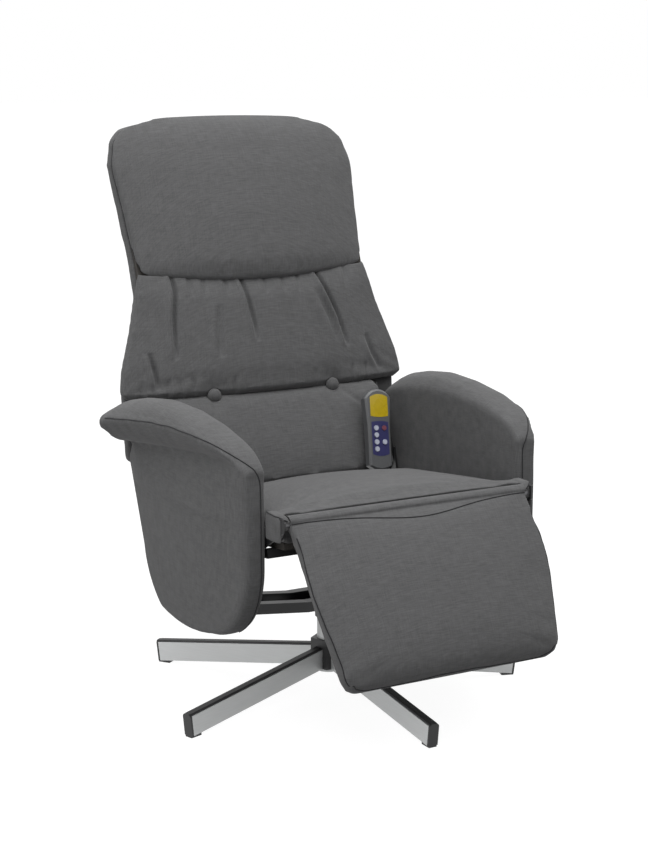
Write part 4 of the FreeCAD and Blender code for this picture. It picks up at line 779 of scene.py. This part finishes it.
def sew_headrest():
    cover = COVERS["headrest_cover"]
    for side, word in SIDES:
        sew(f"headrest_seam_{word}", rim(cover, 2, HEAD_SPOTS, (side, HEAD_LEAN, 0)), cover, "back")


def sew_arms():
    """Along the outer edge of the arm rest, over its nose and down the front."""
    for side, word in SIDES:
        cover = COVERS[f"arm_cover_{word}"]
        edge = rim(cover, 1, ARM_SPOTS, (side, 0, ARM_LEAN))
        surface = surface_of(cover)
        starts = [Vector((side * ARM_FRONT_X, ARM_RAY_Y, height)) for height in ARM_FRONT_SPOTS]
        front = [np.array(surface.ray_cast(start, Vector((0, 1, 0)))[0]) for start in starts]
        off = NOSE_OFF * (side, 1, 1)
        nose = [edge[-1] * (1 - share) + front[0] * share + off for share in NOSE_SHARES]
        sew(f"arm_seam_{word}", np.array([*edge, *nose, *front]), cover, "seat")


def sew_footrest():
    """Along the sides and the end, and across the top, where the seam sags in the middle."""
    cover = COVERS["footrest_cover"]
    left = rim(cover, 2, FOOT_SIDE_SPOTS, FOOT_OUT * FOOT_SIDE_LEAN + (1, 0, 0))
    right = rim(cover, 2, FOOT_SIDE_SPOTS, FOOT_OUT * FOOT_SIDE_LEAN - (1, 0, 0))
    foot = rim(cover, 0, FOOT_END_SPOTS, FOOT_OUT * FOOT_END_LEAN + FOOT_ALONG)
    sew("footrest_seam_shade", np.concatenate([right[::-1], foot, left]), cover, "footrest")
    surface = surface_of(cover)
    path = []
    for across in FOOT_TOP_SPOTS:
        sag = SAG_LEAST + SAG_MORE * math.exp(-((across - SAG_MIDDLE) / SAG_WIDTH) ** 2)
        outside = FOOT_PIVOT + FOOT_ALONG * sag + FOOT_OUT * FOOT_RAY + (across, 0, 0)
        hit = surface.ray_cast(Vector(outside), Vector(-FOOT_OUT))[0]
        if hit:
            path.append(hit)
    sew("footrest_top_seam_shade", np.array(path), cover, "footrest")


def sew_seat():
    cover = COVERS["seat_cover"]
    for side, word in SIDES:
        sew(f"seat_seam_{word}", rim(cover, 1, SEAT_SPOTS, (side, 0, SEAT_LEAN)), cover, "seat")


sew_headrest()
sew_arms()
sew_footrest()
sew_seat()
for name, row in COVER_ROWS.items():
    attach(COVERS[name], BODY_OF[row.nodes[0]])
    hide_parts(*row.nodes)


# Floor, light and camera

FLOOR_HALF = 60
FLOOR_DIM = 0.22
FLOOR_WHITE = 0.95
FLOOR_GLOW = 1.15
FLOOR_GLOW_SHARE = 0.8
DOME_LOW = (0.22, 0.22, 0.22)
DOME_HIGH = (0.95, 0.95, 0.96)
DOME_BAND = (0.48, 0.95)
CAMERA_PLACE = (-1.6335, -2.8617 + SWIVEL_Y, 1.1640)
CAMERA_DEGREES = (78.61, 0, -29.57)
CAMERA_LENS = 74.62
CAMERA_SENSOR = 36
Softbox = namedtuple("Softbox", "place target size power")
SOFTBOXES = {
    "key": Softbox((-1.6, -2.8, 3.2), (0, 0, 0.5), (2.2, 2.2), 50),
    "top": Softbox((0.2, -0.2, 3.2), (0, 0, 0.4), (2.5, 2.5), 66),
    "side": Softbox((-3.0, -0.6, 0.7), (0, 0, 0.4), (2.0, 1.2), 26),
}


def backdrop_seen(tree):
    """1 for rays that show the backdrop: to the camera, in gloss or through glass."""
    path = tree.nodes.new("ShaderNodeLightPath")
    mirrored = math_node(tree, "MAXIMUM", path.outputs["Is Camera Ray"], path.outputs["Is Glossy Ray"])
    return math_node(tree, "MAXIMUM", mirrored, path.outputs["Is Transmission Ray"])


def mixed(tree, factor, first, second, output):
    """Put out the first shader where the factor is 0 and the second where it is 1."""
    mix = tree.nodes.new("ShaderNodeMixShader")
    tree.links.new(factor, mix.inputs["Fac"])
    tree.links.new(first, mix.inputs[1])
    tree.links.new(second, mix.inputs[2])
    tree.links.new(mix.outputs["Shader"], tree.nodes[output].inputs["Surface"])


def plain_floor():
    """White where it is seen but for a faint shadow, and dim to all other light."""
    mesh = bpy.data.meshes.new("floor")
    corners = [(x * FLOOR_HALF, y * FLOOR_HALF, 0) for x, y in ((-1, -1), (1, -1), (1, 1), (-1, 1))]
    mesh.from_pydata(corners, [], [(0, 1, 2, 3)])
    floor = bpy.data.objects.new("floor", mesh)
    SCENE.collection.objects.link(floor)
    material, tree, shader = shader_of("floor_white")
    seen = backdrop_seen(tree)
    shade = ramp(tree, seen, alike(FLOOR_DIM), alike(FLOOR_WHITE), (0, 1))
    tree.links.new(shade, shader.inputs["Base Color"])
    set_inputs(shader, {"Roughness": 0.9, "Specular IOR Level": 0.1})
    glow = tree.nodes.new("ShaderNodeEmission")
    set_inputs(glow, {"Strength": FLOOR_GLOW})
    glowing = times(tree, seen, FLOOR_GLOW_SHARE)
    mixed(tree, glowing, shader.outputs["BSDF"], glow.outputs["Emission"], "Material Output")
    mesh.materials.append(material)


def studio_world():
    """White where it is seen, and a dome that is brightest overhead to all other light."""
    world = bpy.data.worlds.new("studio")
    world.use_nodes = True
    SCENE.world = world
    tree = world.node_tree
    light = tree.nodes["Background"]
    place = tree.nodes.new("ShaderNodeTexCoord")
    split = tree.nodes.new("ShaderNodeSeparateXYZ")
    tree.links.new(place.outputs["Generated"], split.inputs["Vector"])
    height = plus(tree, times(tree, split.outputs["Z"], 0.5), 0.5)
    tree.links.new(ramp(tree, height, DOME_LOW, DOME_HIGH, DOME_BAND), light.inputs["Color"])
    white = tree.nodes.new("ShaderNodeBackground")
    set_inputs(white, {"Color": (1, 1, 1, 1)})
    seen = backdrop_seen(tree)
    mixed(tree, seen, light.outputs["Background"], white.outputs["Background"], "World Output")


def softbox(name, row):
    light = bpy.data.lights.new(name, "AREA")
    light.shape = "RECTANGLE"
    light.size, light.size_y = row.size
    light.energy = row.power
    obj = bpy.data.objects.new(name, light)
    obj.location = row.place
    obj.rotation_euler = (Vector(row.target) - Vector(row.place)).to_track_quat("-Z", "Y").to_euler()
    SCENE.collection.objects.link(obj)


def photo_camera():
    camera = bpy.data.objects.new("camera", bpy.data.cameras.new("camera"))
    camera.location = CAMERA_PLACE
    camera.rotation_euler = [math.radians(angle) for angle in CAMERA_DEGREES]
    camera.data.lens = CAMERA_LENS
    camera.data.sensor_width = CAMERA_SENSOR
    SCENE.collection.objects.link(camera)
    SCENE.camera = camera


plain_floor()
studio_world()
for name, row in SOFTBOXES.items():
    softbox(name, row)
photo_camera()
SCENE.view_settings.view_transform = "Standard"
